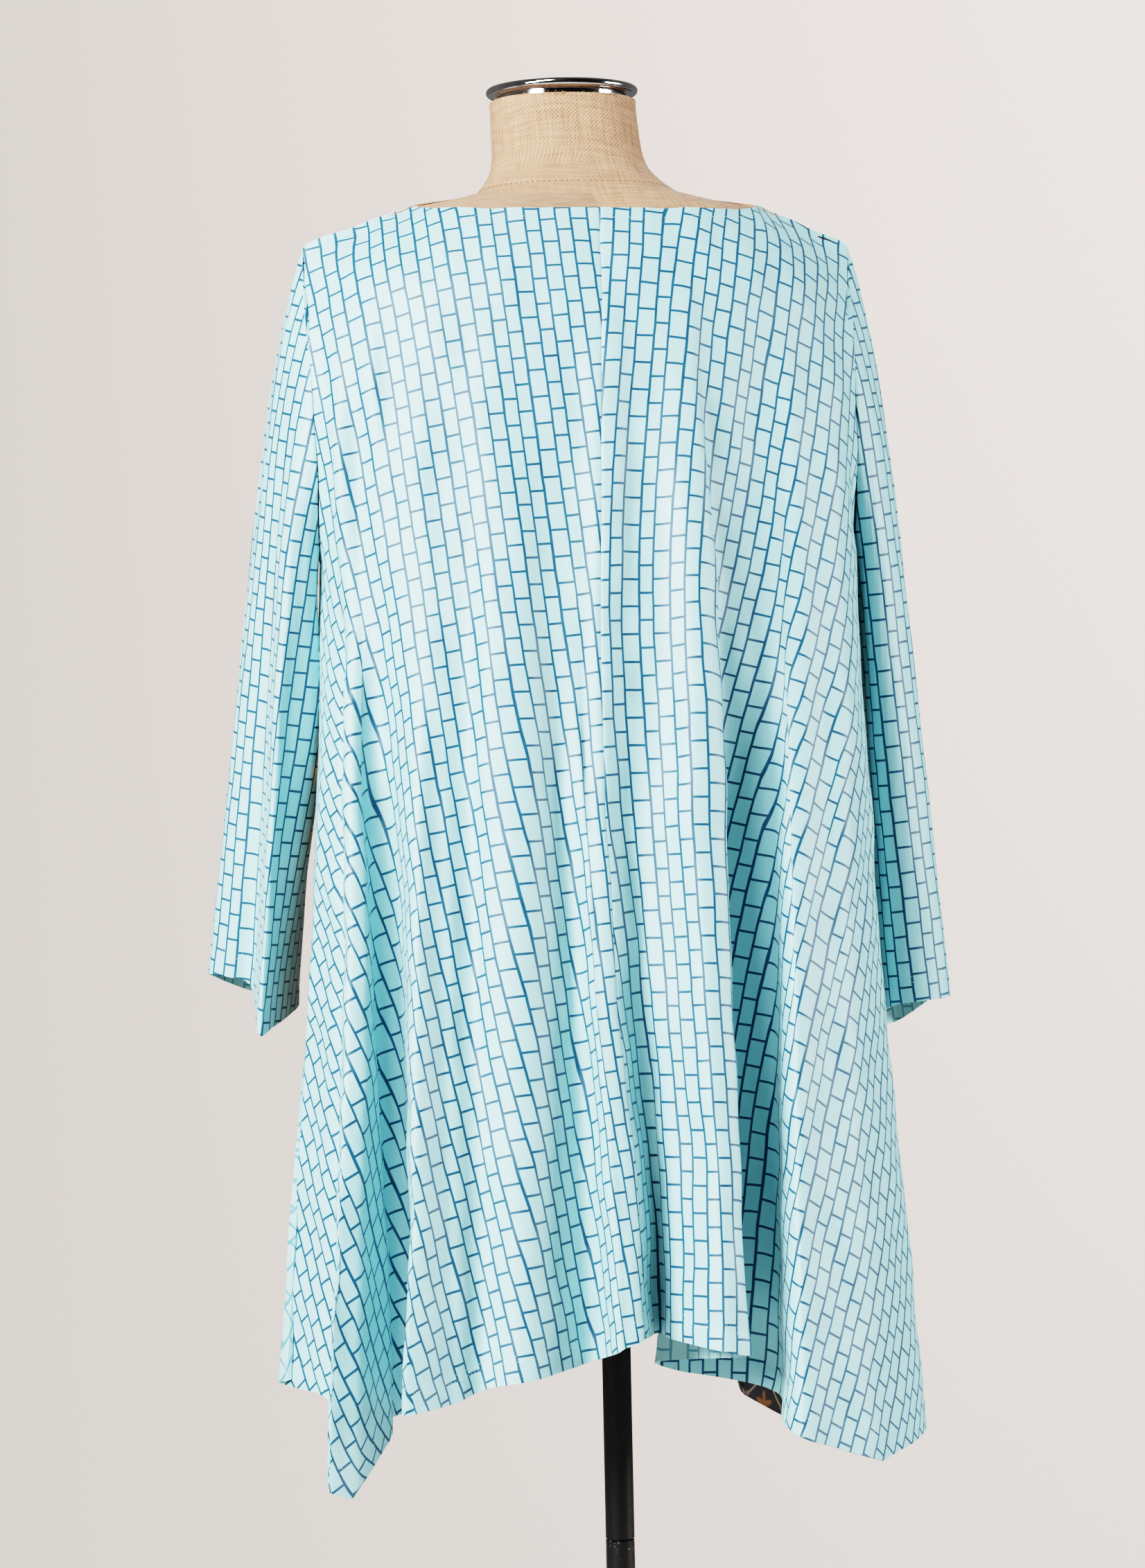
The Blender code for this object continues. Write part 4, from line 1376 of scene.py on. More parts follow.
@dataclass
class Tunic:
    """The tunic: two half backs, a front and two wide sleeves, with their seams and hems.

    Attributes named _drops or _heights hold where something begins and where it is whole.
    """

    thickness: float = 0.9
    hem_thickness: float = 1.5
    hem_depth: float = 20.0
    hem_rows: tuple[float, float] = (15.5, 20.0)
    neck_row: float = 8.5
    # The depth and width of the grooves that stitching presses.
    hem_groove: tuple[float, float] = (0.45, 1.3)
    neck_groove: tuple[float, float] = (0.4, 1.2)
    hem_swell: float = 0.35
    hem_step: float = 1.6
    rows: int = 217
    row_step: int = 3
    # The folds come in over soft_margin from a side seam. Higher up the cloth is softer.
    soft_margin: float = 32.0
    soft_drops: tuple[float, float] = (450.0, 290.0)
    soft_neck_drops: tuple[float, float] = (50.0, 140.0)
    soft_across_drops: tuple[float, float] = (0.0, 60.0)
    # The depths that hollows may have over the form, below and above the waist.
    room_low: float = 16.0
    room_high: float = 8.0
    room_heights: tuple[float, float] = (1000.0, 1120.0)
    even_columns: float = 24.0
    crest_reach: float = 12.0
    # The depth and width of the ditches along seams.
    seam_ditch: tuple[float, float] = (0.5, 2.0)
    centre_ditch: tuple[float, float] = (0.7, 1.6)
    # The front is drawn in beside its left seam, tuck_at from the edge.
    tuck: float = 11.0
    tuck_at: float = 58.0
    tuck_width: float = 46.0
    tuck_heights: tuple[float, float] = (1240.0, 1180.0)
    # Its edges lie lower than the back's at the shoulders.
    shoulder_lap: float = 3.4
    lap_reach: float = 9.0
    lap_heights: tuple[float, float] = (1300.0, 1340.0)
    back_steps: int = 10
    front_steps: int = 8
    sleeve_rows: int = 121
    sleeve_steps: int = 8
    sleeve_wave: float = 19.0
    sleeve_swell: float = 0.4
    wobble: float = 0.35
    # Each wave's length across and down the cloth, and its phase.
    waves: tuple[tuple[float, float, float], ...] = (
        (61, 143, 0.3),
        (47, -211, 1.7),
        (33, 92, 4.1),
        (88, -71, 2.6),
    )

    def finishes(self) -> dict[str, bpy.types.Material]:
        """The jerseys' right and wrong sides, and their threads, by piece."""
        wrong_brick = {"ground": "#A6D0D4", "ground_deep": "#96C3C8"}
        wrong_brick |= {"line": "#5490A3", "line_faint": "#74A6B5"}
        wrong_lattice = {"ground": "#4A4A50", "lattice": "#A79D86"}
        wrong_lattice |= {"rosette": "#94827D", "blossom": "#A0764F"}
        jersey = {"roughness": 0.5, "sheen": 0.2}
        black = {"colour": "#26262A", "shade": "#17171A"}
        finishes = {
            "tunic": BrickJersey("printed_viscose_jersey", **jersey),
            "tunic_wrong": BrickJersey("printed_viscose_jersey_wrong_side", 0.7, **wrong_brick),
            "front": LatticeJersey("dark_printed_jersey", **jersey),
            "front_wrong": LatticeJersey("dark_printed_jersey_wrong_side", 0.7, **wrong_lattice),
            "tunic_thread": Thread("aqua_sewing_thread", 0.55),
            "front_thread": Thread("black_sewing_thread", 0.55, **black),
        }
        return {name: finish.material() for name, finish in finishes.items()}

    def relief(self, points: Array, face: Face) -> Array:
        """How far each point of a body panel stands out of its plain drape.

        Seams are soft ditches, and each row of stitching presses a fine groove. On the back, each
        flank adds rise / 2 * tanh(s), where s is the distance right of its line over its width,
        and nothing at the side seams. The flanks are evened out about their own running mean, and
        their hollows level off at the room there is over the form. The front is tucked in beside
        the left side seam. The whole surface wanders as four slow waves.
        """
        down, over = running_length(points, 0), running_length(points, 1)
        x, z = points[..., 0], points[..., 2]
        out = self.stitched(down[-1] - down, down)
        out -= pressed(from_edges(over), self.seam_ditch)
        if face is Face.BACK:
            folds = np.zeros_like(x)
            for flank in BACK_FLANKS:
                line, rise = stops_at(z, tuple((height, at, by) for at, height, by in flank.path))
                folds += rise / 2 * np.tanh((x - line) / flank.width)
            folds -= blurred(folds, self.even_columns, 1)
            high = ramp(z, *self.room_heights)
            room = self.room_low + (self.room_high - self.room_low) * high
            inside = eased(ramp(from_edges(over), 0, self.soft_margin))
            out += inside * np.where(folds < 0, room * np.tanh(folds / room), folds)
            seam = self.centre_column
            out -= pressed(over - over[:, seam : seam + 1], self.centre_ditch)
        else:
            tucked = trough(over - self.tuck_at, self.tuck_width)
            out -= self.tuck * tucked * ramp(z, *self.tuck_heights)
        for across, along, turn in self.waves:
            out += self.wobble * np.sin(2 * math.pi * (x / across + z / along) + turn)
        return out

    def stitched(self, from_hem: Array, from_neck: Array) -> Array:
        """The fine grooves and the fuller turned edge that hem and neckline stitching leave."""
        out = self.hem_swell * self.turned_up(from_hem)
        for row in self.hem_rows:
            out -= pressed(from_hem - row, self.hem_groove)
        return out - pressed(from_neck - self.neck_row, self.neck_groove)

    def turned_up(self, from_hem: Array) -> Array:
        """1 where the hem or cuff is turned up and 0 above it, with a soft step between."""
        return (1 - np.tanh((from_hem - self.hem_depth) / self.hem_step)) / 2

    def walls(self, doubled: Array) -> Array:
        """The cloth's thickness, from the share by which it is doubled."""
        return self.thickness + (self.hem_thickness - self.thickness) * doubled

    def drape(self, face: Face, steps: int) -> Array:
        """The outer points of one face: the fold engine's cloth, softened above the waist.

        Away from the seams the points are blurred down and across the cloth. Past the lower of
        soft_drops only a small blur along the folds is left.
        """
        drops = np.linspace(0, HEM_DROP, self.rows)
        points = cloth_points(columns_between(fold_places(face), steps), drops, face)
        over = running_length(points, 1)
        inside = eased(ramp(from_edges(over), 0, self.soft_margin))[..., None]
        long_soft = points + (blurred(points, 3, 0) - points) * inside
        soft = blurred(blurred(points, 9, 0), steps * 0.55, 1)
        share = eased(ramp(drops, *self.soft_drops)) * eased(ramp(drops, *self.soft_neck_drops))
        share = (share * ramp(drops, *self.soft_across_drops))[:, None, None]
        points = long_soft + (soft - long_soft) * share * inside
        if face is Face.BACK:
            for sway in BACK_SWAYS:
                column = index_of(BACK_FOLDS, sway.fold) * steps
                shift = stops_at(points[..., 2], sway.path)[0]
                points[..., 0] += shift * trough(over - over[:, column : column + 1], sway.reach)
        return points

    def body(self, face: Face, steps: int) -> tuple[Array, Array, Array, Array]:
        """Plain points, points with their relief, normals and thickness of one face of the body."""
        plain = self.drape(face, steps)
        points = plain + self.face_normals(plain, face) * self.relief(plain, face)[..., None]
        normals = self.face_normals(points, face)
        if face is Face.FRONT:
            near = ramp(from_edges(running_length(points, 1)), self.lap_reach, 0) ** 2
            high = ramp(points[..., 2], *self.lap_heights)
            points[..., 2] -= self.shoulder_lap * near * high
        down = running_length(points, 0)
        doubled = np.maximum(self.turned_up(down[-1] - down), down < self.neck_row)
        return plain, points, self.crested(points, normals), self.walls(doubled)

    def face_normals(self, points: Array, face: Face) -> Array:
        """Normals that point out of the back or the front."""
        normals = grid_normals(points, False)
        out = -1 if face is Face.BACK else 1
        return normals * out * np.sign(normals[:, normals.shape[1] // 2, 1].mean())

    def crested(self, points: Array, normals: Array) -> Array:
        """Normals that near each long edge turn to stand square to the seam and level with x and z.

        The two faces meet there at a sharp crest, and both are thickened and turned in along it.
        """
        over = running_length(points, 1)
        for end, distance in ((0, over), (-1, over[:, -1:] - over)):
            way = np.cross(np.gradient(points[:, end], axis=0), (0, 1, 0))
            way = unit(way * np.sign(way[:, :1] * points[:, end, :1]))
            share = ramp(distance, self.crest_reach, 0)[..., None] ** 2
            normals = normals * (1 - share) + way[:, None] * share
        return unit(normals)

    @property
    def centre_column(self) -> int:
        """The column of the centre-back seam."""
        return index_of(BACK_FOLDS, "centre_back") * self.back_steps

    def seam_trim(self, points: Array, normals: Array) -> Array:
        """Draws a panel's first and last columns in by half the gap left at a seam."""
        points = points.copy()
        for end, inner in ((0, 1), (-1, -2)):
            inwards = unit(np.cross(np.gradient(points[:, end], axis=0), normals[:, end]))
            inwards *= np.sign((inwards * (points[:, inner] - points[:, end])).sum())
            points[:, end] += inwards * SEAM_GAP / 2
        return points

    def build(self) -> None:
        """Builds, dresses and declares every piece of the tunic."""
        looks = self.finishes()
        panels = [*self.back_panels(), self.front_panel()]
        panels.append(self.sleeve("sleeve_left", LEFT_SLEEVE_FOLDS, -1))
        panels.append(self.sleeve("sleeve_right", RIGHT_SLEEVE_FOLDS, 1))
        for panel, thickness in panels:
            node = panel.name.removeprefix("cloth_")
            look = "front" if node == "front" else "tunic"
            piece = panel.piece(thickness)
            declare(piece, [looks[look], looks[look + "_wrong"]], node)
            stitches = self.stitching(panel)
            declare(stitches, [looks[look + "_thread"]])
            width, length, area = panel.flat_size()
            log.info("%s: cut %.3f x %.3f m, %.3f square metres", panel.name, width, length, area)

    def back_panels(self) -> list[tuple[Panel, Array]]:
        """The two half backs, parted at the centre-back seam.

        The centre is the last column of the left half and the first of the right.
        """
        whole = self.body(Face.BACK, self.back_steps)
        lean, firm = grain_lean(whole[0])
        panels = []
        for name, part, upright, away in (
            ("cloth_back_left", slice(None, self.centre_column + 1), -1, 1),
            ("cloth_back_right", slice(self.centre_column, None), 0, -1),
        ):
            plain, points, normals, thickness = (grid[:, part] for grid in whole)
            flat = self.body_flat(plain, upright)
            printed = print_places(plain, lean[:, part], firm[:, part])
            printed -= printed[0, upright]
            # Seen from its outer edge inwards, which for the right half is from right to left.
            grids = (grid[:, ::away] for grid in (printed, flat, plain))
            printed = carried_round(*grids)[:, ::away]
            edge = self.seam_trim(points, normals)
            panels.append(with_allowances(Panel(name, edge, normals, flat, printed), thickness))
        return panels

    def body_flat(self, plain: Array, column: int) -> Array:
        """A body panel laid flat, with one column upright over the shoulders and the waist."""
        flat = laid_flat(plain, self.row_step, 2)
        return turned_upright(flat, column, self.rows // 8, self.rows // 2)

    def front_panel(self) -> tuple[Panel, Array]:
        """The front, in one piece."""
        plain, points, normals, thickness = self.body(Face.FRONT, self.front_steps)
        flat = self.body_flat(plain, points.shape[1] // 2)
        edge = self.seam_trim(points, normals)
        return with_allowances(
            Panel("cloth_front", edge, normals, flat, flat, flipped=True), thickness
        )

    def sleeve(self, name: str, folds: list[SleeveFold], side: int) -> tuple[Panel, Array]:
        """A wide sleeve: a tube whose lines fall from the armhole, lead outwards, then hang.

        A line is at start + (cuff - start - lead) * s + lead * (1 - (1 - s)**9). s is t**1.35,
        where t goes from 0 at the armhole to 1 at the cuff. Its bow adds its own sin(pi * t)**2.
        """
        count, steps = len(folds), self.sleeve_steps
        near_seam = np.array([0.9 * side, side])
        starts = [cloth_points(near_seam, np.array([f.drop]), f.face)[0, 1] for f in folds]
        starts = np.array(starts) + (side * SEAM_GAP, 0, 0)
        leads = [(side * fold.lead, 0, 0) for fold in folds]
        cuffs = [(fold.cuff_x, fold.cuff_y, fold.cuff_z) for fold in folds]
        bows = [(fold.bow_x, fold.bow_y, 0) for fold in folds]
        # The lines run on by two at either end, so that the curve round the tube closes.
        knots = np.arange(-2, count + 3)
        start, lead, cuff, bow = (
            flowing_curve(np.arange(count * steps) / steps, knots, np.array(lines)[knots % count])
            for lines in (starts, leads, cuffs, bows)
        )
        t = np.linspace(0, 1, self.sleeve_rows)[:, None, None]
        down = t**SLEEVE_FALL_START
        points = start + (cuff - start - lead) * down + lead * (1 - (1 - down) ** SLEEVE_FALL_POWER)
        points += bow * np.sin(math.pi * t) ** 2
        underarm = index_of(folds, "underarm")
        points = np.roll(points, -underarm * steps, 1)
        length = running_length(points, 0)
        from_cuff = length[-1] - length
        relief = self.stitched(from_cuff, np.full_like(from_cuff, np.inf))
        relief -= pressed(length, self.seam_ditch)
        phase = 2 * np.linspace(0, 9 * math.pi, points.shape[1]).round()
        relief += self.wobble * np.sin(length / self.sleeve_wave + phase)
        relief = np.minimum(relief, self.sleeve_swell)
        points = points + self.sleeve_normals(points) * relief[..., None]
        normals = self.sleeve_normals(points)
        normals[0] = unit(normals[0] * (0, 1, 1))
        flat = laid_flat(wrapped(points), 4, 2)
        outer = (count - underarm) * steps
        flat = turned_upright(flat, outer, self.sleeve_rows // 4, self.sleeve_rows - 1)
        panel = Panel("cloth_" + name, points, normals, flat, flat, closed=True, flipped=side > 0)
        return with_allowances(panel, self.walls(self.turned_up(from_cuff)))

    def sleeve_normals(self, points: Array) -> Array:
        """Outward normals of a sleeve's tube."""
        normals = grid_normals(points, True)
        outwards = (normals * (points - points.mean(1, keepdims=True))).sum()
        return normals if outwards > 0 else -normals

    def stitching(self, panel: Panel) -> bpy.types.Object:
        """The rows of stitches that hold a panel's hem, and its neckline if it has one."""
        down = running_length(panel.points, 0)
        paths = [row_at(panel, down - down[-1], -row) for row in self.hem_rows]
        if panel.closed:
            paths = [[np.concatenate([line, line[:1]]) for line in path] for path in paths]
        else:
            paths.append(row_at(panel, down, self.neck_row))
            kept = slice(len(ALLOWANCE), -len(ALLOWANCE))
            paths = [[line[kept] for line in path] for path in paths]
        return thread_piece(panel.name + "_stitches", [StitchLine().bits(*path) for path in paths])


def lathe(name: str, profile: Array, x: float, y: float, sides: int = 96) -> bpy.types.Object:
    """A closed solid turned about an upright axis.

    Args:
        name: the piece's name.
        profile: (count, 2) radius and height from the top pole to the bottom pole, in millimetres.
        x: the axis, in millimetres.
        y: the axis, in millimetres.
        sides: how many faces go round.
    """
    angle = np.linspace(0, 2 * math.pi, sides, endpoint=False)
    radius, height = profile[:, :1], profile[:, 1:]
    rings = [x + radius * np.cos(angle), y + radius * np.sin(angle), height + 0 * angle]
    poles = [[x, y, height[0, 0]], [x, y, height[-1, 0]]]
    points = np.concatenate([np.stack(rings, -1).reshape(-1, 3), poles])
    index = wrapped(numbered(len(profile), sides))
    faces = np.concatenate([halved(quads(index)), end_fans(index)])
    return to_object(name, new_mesh(name, points, faces, 35))


def rounded_profile(corners: list[tuple[float, float, float]], steps: int = 6) -> Array:
    """A profile through corners, each rounded by its own radius with a quadratic bend.

    Args:
        corners: (radius, height, rounding) rows, in millimetres.
        steps: points in each bend.
    """
    places = np.array([corner[:2] for corner in corners], float)
    out = [places[0]]
    for i in range(1, len(places) - 1):
        before, here, after = places[i - 1 : i + 2]
        rounding = corners[i][2]
        start, end = (
            here + way * min(0.5, rounding / max(np.linalg.norm(way), 1e-6))
            for way in (before - here, after - here)
        )
        s = np.linspace(0, 1, steps if rounding else 1)[:, None]
        out.extend((1 - s) ** 2 * start + 2 * s * (1 - s) * here + s**2 * end)
    out.append(places[-1])
    return np.array(out)


@dataclass
class DressForm:
    """The limbless linen-covered form: its body, raw linen edge, seams and chrome neck cap."""

    columns: int = 192
    row_steps: int = 12
    ring_power: float = 0.86
    resting_drops: tuple[float, ...] = (0.0, 20.0, 40.0, 58.0)
    cloth_wall: float = 1.3
    resting_gap: float = 0.9
    shoulder_narrowing: float = 0.07
    # The depth and width of the groove at the neck's foot, and the stitches there and at its sides.
    neck_groove: tuple[float, float] = (0.6, 1.5)
    foot_stitch: StitchLine = StitchLine(4.4, 2.9, 0.5)
    side_stitch: StitchLine = StitchLine(1.3, 1.8, 0.4)
    side_seam_columns: tuple[int, ...] = (40, 146)
    fray_strands: int = 90
    # Each tuft's middle and spread in radians, and its strands.
    fray_tufts: tuple[tuple[float, float, int], ...] = (
        (-0.14, 0.05, 14),
        (0.36, 0.09, 26),
        (2.6, 0.2, 14),
    )
    fray_longest: float = 5.0
    # A strand's radius at its root and halfway, and its droop at the tip for each of its length.
    fray_radii: tuple[float, float] = (0.17, 0.12)
    fray_droop: float = 0.18
    cap_radius: float = 59.0
    cap_collar_radius: float = 50.0
    cap_bottom: float = 1519.3
    cap_collar_height: float = 5.0
    cap_rim: float = 3.0
    cap_dome: float = 4.0
    cap_rings: int = 6
    cap_ring_depth: float = 0.45

    def table_rings(self, rows: list[FormRow], angle: Array) -> Array:
        """Rings from a table, with rows added between the table's own.

        A ring is an ellipse squared off a little, its ends lifted by the cube of its sine.
        """
        count = len(rows)
        at = np.linspace(0, count - 1, (count - 1) * self.row_steps + 1)
        table = monotone_curve(at, np.arange(count), [row[1:] for row in rows])
        half, middle, back, front, z_back, z_side, z_front = table.T[:, :, None]
        sine, cosine = np.sin(angle), np.cos(angle)
        wide = np.sign(sine) * np.abs(sine) ** self.ring_power
        deep = np.sign(cosine) * np.abs(cosine) ** self.ring_power
        centre = np.where(cosine > 0, z_back, z_front)
        z = centre + (z_side - centre) * np.abs(sine) ** 3
        y = (back + front) / 2 - (front - back) / 2 * deep
        return np.stack([middle + half * wide, y, z], -1)

    def resting_rings(self, angle: Array) -> Array:
        """The shoulders' rings: the cloth's own rings, drawn in until they just clear it."""
        drops = np.array(self.resting_drops)
        across = np.arcsin(np.sin(angle)) / (math.pi / 2)
        order = np.argsort(across)
        on_back = np.cos(angle[order]) > 0
        rings = np.empty((len(drops), len(angle), 3))
        for face in Face:
            chosen = on_back == (face is Face.BACK)
            rings[:, order[chosen]] = cloth_points(across[order], drops, face)[:, chosen]
        normals = grid_normals(rings, True)
        normals *= np.sign(normals[..., 2].mean())
        rings -= normals * (self.cloth_wall + self.resting_gap)
        rings[..., 0] *= (1 - self.shoulder_narrowing * drops / SHOULDER_DROP)[:, None]
        return rings

    def rings(self) -> Array:
        """All the form's rings from top to bottom."""
        angle = np.linspace(0, 2 * math.pi, self.columns, endpoint=False)
        neck, torso = (self.table_rings(rows, angle) for rows in (NECK_ROWS, TORSO_ROWS))
        return np.concatenate([neck, self.resting_rings(angle), torso])

    def build(self) -> None:
        linen = Linen("plain_woven_linen", 0.85, sheen=0.15).material()
        chrome = Chrome("bright_chrome_plate", 0.07, metallic=1.0).material()
        brown = Thread("brown_linen_thread", 0.7, colour="#6B5237", shade="#3A2A1B").material()
        pale = Thread("pale_linen_thread", 0.8, colour="#DCC9A6", shade="#B79A70").material()
        declare(self.torso(), [linen], "form_torso")
        declare(self.cap(), [chrome], "neck_cap")
        declare(self.neck_seam(), [brown])
        declare(self.fray(), [pale])

    def outwards(self, rings: Array) -> Array:
        """Outward normals of the form's rings."""
        normals = grid_normals(rings, True)
        return normals * np.sign((normals * (rings - rings.mean(1, keepdims=True))).sum())

    def torso(self) -> bpy.types.Object:
        """The closed body: a skin of rings with a flat cap at each end, pressed in at its neck seam.

        The linen's u is the length round each ring from its nearest centre line, and its v is the
        length down from the neck's seam, so that its threads run level and upright.
        """
        rings, low = self.rings(), self.neck_seam_row
        down = running_length(rings, 0)
        from_seam = down - down[low]
        rings = rings - self.outwards(rings) * pressed(from_seam, self.neck_groove)[..., None]
        rows, columns = rings.shape[:2]
        around = running_length(wrapped(rings), 1)
        shift = np.zeros((rows - 1, columns))
        half, quarter = columns // 2, columns // 4
        shift[:low, half:] = around[:low, -1:]
        shift[low:, quarter : 3 * quarter] = around[low:-1, half : half + 1]
        shift[low:, 3 * quarter :] = around[low:-1, -1:]
        linen = np.stack([around, -wrapped(from_seam)], -1).reshape(-1, 2)
        corners = linen[quads(numbered(rows, columns + 1))]
        corners[..., 0] -= shift.reshape(-1, 1)
        index = wrapped(numbered(rows, columns))
        points = np.concatenate([rings.reshape(-1, 3), rings[[0, -1]].mean(1)])
        ends = end_fans(index)
        faces = np.concatenate([halved(quads(index)), ends])
        mesh = new_mesh("linen_torso", points + (FORM_OFFSET_X, 0, 0), faces, 50)
        lay_print(mesh, np.concatenate([halved(corners), points[ends][..., :2]]))
        return to_object("linen_torso", mesh)

    @property
    def neck_seam_row(self) -> int:
        """The ring at which the neck's linen meets the shoulders'."""
        return index_of(NECK_ROWS, "base") * self.row_steps

    def neck_seam(self) -> bpy.types.Object:
        """The hand stitches round the neck's foot, and the close seams down its two sides."""
        rings, low = self.rings(), self.neck_seam_row
        grids = (rings, self.outwards(rings))
        bits = [self.foot_stitch.bits(*(wrapped(grid)[low] for grid in grids))]
        for column in self.side_seam_columns:
            path = (grid[: low + 1, column] for grid in grids)
            bits.append(self.side_stitch.bits(*path))
        return thread_piece("neck_seams", bits)

    def fray(self) -> bpy.types.Object:
        """Loose ends along the linen's raw top edge: bent three-sided spikes, thicker at the root.

        They stand all round, and closer together in the tufts where threads have pulled out.
        """
        random = np.random.default_rng(31)
        rings = self.rings()
        angles = [random.uniform(0, 2 * math.pi, self.fray_strands)]
        angles += [random.normal(*tuft) for tuft in self.fray_tufts]
        angle = np.concatenate(angles) % (2 * math.pi)
        at = angle / (2 * math.pi) * self.columns
        whole = np.arange(self.columns + 1)
        root, out = (
            np.stack([np.interp(at, whole, wrapped(grid)[0, :, i]) for i in range(3)], -1)
            for grid in (rings, self.outwards(rings))
        )
        out[:, 2] = 0
        count = len(root)
        along = np.stack([-out[:, 1], out[:, 0], np.zeros(count)], -1)
        heading = out * random.uniform(0.25, 0.8, (count, 1))
        heading = heading + along * random.normal(0, 0.55, (count, 1))
        heading[:, 2] = random.uniform(-0.5, 0.9, count)
        heading = unit(heading)
        length = self.fray_longest * random.uniform(0.25, 1, (count, 1)) ** 1.6
        bend = along * random.normal(0, 0.25, (count, 1)) * length
        root = root + out * 0.1 - (0, 0, 1) * random.uniform(0, 1.6, (count, 1))
        middle = root + heading * length * 0.5 + bend * 0.35
        tip = root + heading * length + bend - (0, 0, self.fray_droop) * length
        across = unit(np.cross(heading, (0, 0, 1)))
        other = np.cross(heading, across)
        rounds = [
            centre + radius * (math.cos(turn) * across + math.sin(turn) * other)
            for centre, radius in zip((root, middle), self.fray_radii)
            for turn in (0, 2 * math.pi / 3, 4 * math.pi / 3)
        ]
        shape = [[0, 2, 1]]
        for i, j in ((0, 1), (1, 2), (2, 0)):
            shape += [[i, j, j + 3], [i, j + 3, i + 3], [i + 3, j + 3, 6]]
        points = np.stack([*rounds, tip], 1).reshape(-1, 3)
        return thread_piece("frayed_edge", [(points, repeated(shape, 7, count))])

    def cap(self) -> bpy.types.Object:
        """The spun cap: a shallow dome, a half-round rim, a ringed underside and a collar."""
        rim_low = self.cap_bottom + self.cap_collar_height
        rim_high = rim_low + 2 * self.cap_rim
        inner, collar = self.cap_radius - self.cap_rim, self.cap_collar_radius
        reach = np.linspace(0.02, 1, 26)
        dome = np.stack([reach * inner, rim_high + self.cap_dome * (1 - reach**2.2)], -1)
        angle = np.linspace(math.pi / 2, -math.pi / 2, 17)
        rim = np.stack([np.cos(angle), np.sin(angle)], -1) * self.cap_rim
        rim = rim + (inner, (rim_low + rim_high) / 2)
        under = np.linspace(inner - 0.1, collar + 0.4, 41)
        ringed = np.sin((inner - under) / (inner - collar) * self.cap_rings * math.pi) ** 2
        under = np.stack([under, rim_low + self.cap_ring_depth * ringed], -1)
        foot = [(collar, rim_low), (collar, self.cap_bottom), (0.5, self.cap_bottom)]
        profile = np.concatenate([dome, rim, under, foot])
        neck = NECK_ROWS[0]
        x, y = neck.x_centre + FORM_OFFSET_X, (neck.y_back + neck.y_front) / 2
        return lathe("chrome_neck_cap", profile, x, y, 160)


@dataclass
class Stand:
    """The black pole in two tubes, and the round base.

    tip is the radius of the small ring beside each pole of a turned shape.
    """

    tip: float = 0.4
    pole_radius: float = 11.0
    pole_top: float = 744.7
    joint: float = 412.0
    gap: float = 0.3
    joint_chamfer: float = 0.7
    base_radius: float = 170.0
    base_thickness: float = 9.0
    base_edge: float = 3.0
    socket_radius: float = 19.0
    socket_height: float = 34.0

    def build(self) -> None:
        """Builds and dresses the stand's three pieces."""
        paint = BlackPaint("black_enamelled_steel_tube", 0.34, chipped_at=self.joint)
        cast = BlackPaint(
            "black_enamelled_cast_iron", 0.42, chipped_at=self.base_thickness, chipped_reach=9
        )
        tube, iron = paint.material(), cast.material()
        plate, edge = self.base_thickness, self.base_edge
        radius, narrow = self.pole_radius, self.pole_radius - self.joint_chamfer
        socket_top = plate + self.socket_height
        foot, upper_end = socket_top + self.gap, self.joint + self.gap
        upper = [
            (self.tip, self.pole_top),
            (radius, self.pole_top),
            (radius, upper_end + self.joint_chamfer),
            (narrow, upper_end),
            (self.tip, upper_end),
        ]
        lower = [
            (self.tip, self.joint),
            (narrow, self.joint),
            (radius, self.joint - self.joint_chamfer),
            (radius, foot),
            (self.tip, foot),
        ]
        base = [
            (self.tip, socket_top, 0),
            (self.socket_radius, socket_top, edge),
            (self.socket_radius, plate, edge * 1.5),
            (self.base_radius, plate, edge),
            (self.base_radius, 0.0, 0.6),
            (self.tip, 0.0, 0),
        ]
        pieces = [
            (lathe("pole_tube_upper", np.array(upper), 0, 0), "pole_upper"),
            (lathe("pole_tube_lower", np.array(lower), 0, 0), "pole_lower"),
        ]
        for piece, node in pieces:
            declare(piece, [tube], node)
        declare(lathe("round_base", rounded_profile(base), 0, 0, 160), [iron], "base")


class Lamp(NamedTuple):
    """A square soft light, aimed at the tunic."""

    name: str
    place: tuple[float, float, float]
    size: float
    power: float
    colour: str


LAMPS = [
    Lamp("key", (-2.5, -1.72, 1.9), 1.1, 146.0, "#FFFDFA"),
    Lamp("high", (-1.6, -1.9, 3.2), 1.1, 92.0, "#FFFFFF"),
    Lamp("edge", (2.9, -0.8, 1.4), 1.3, 84.0, "#FFFFFF"),
]


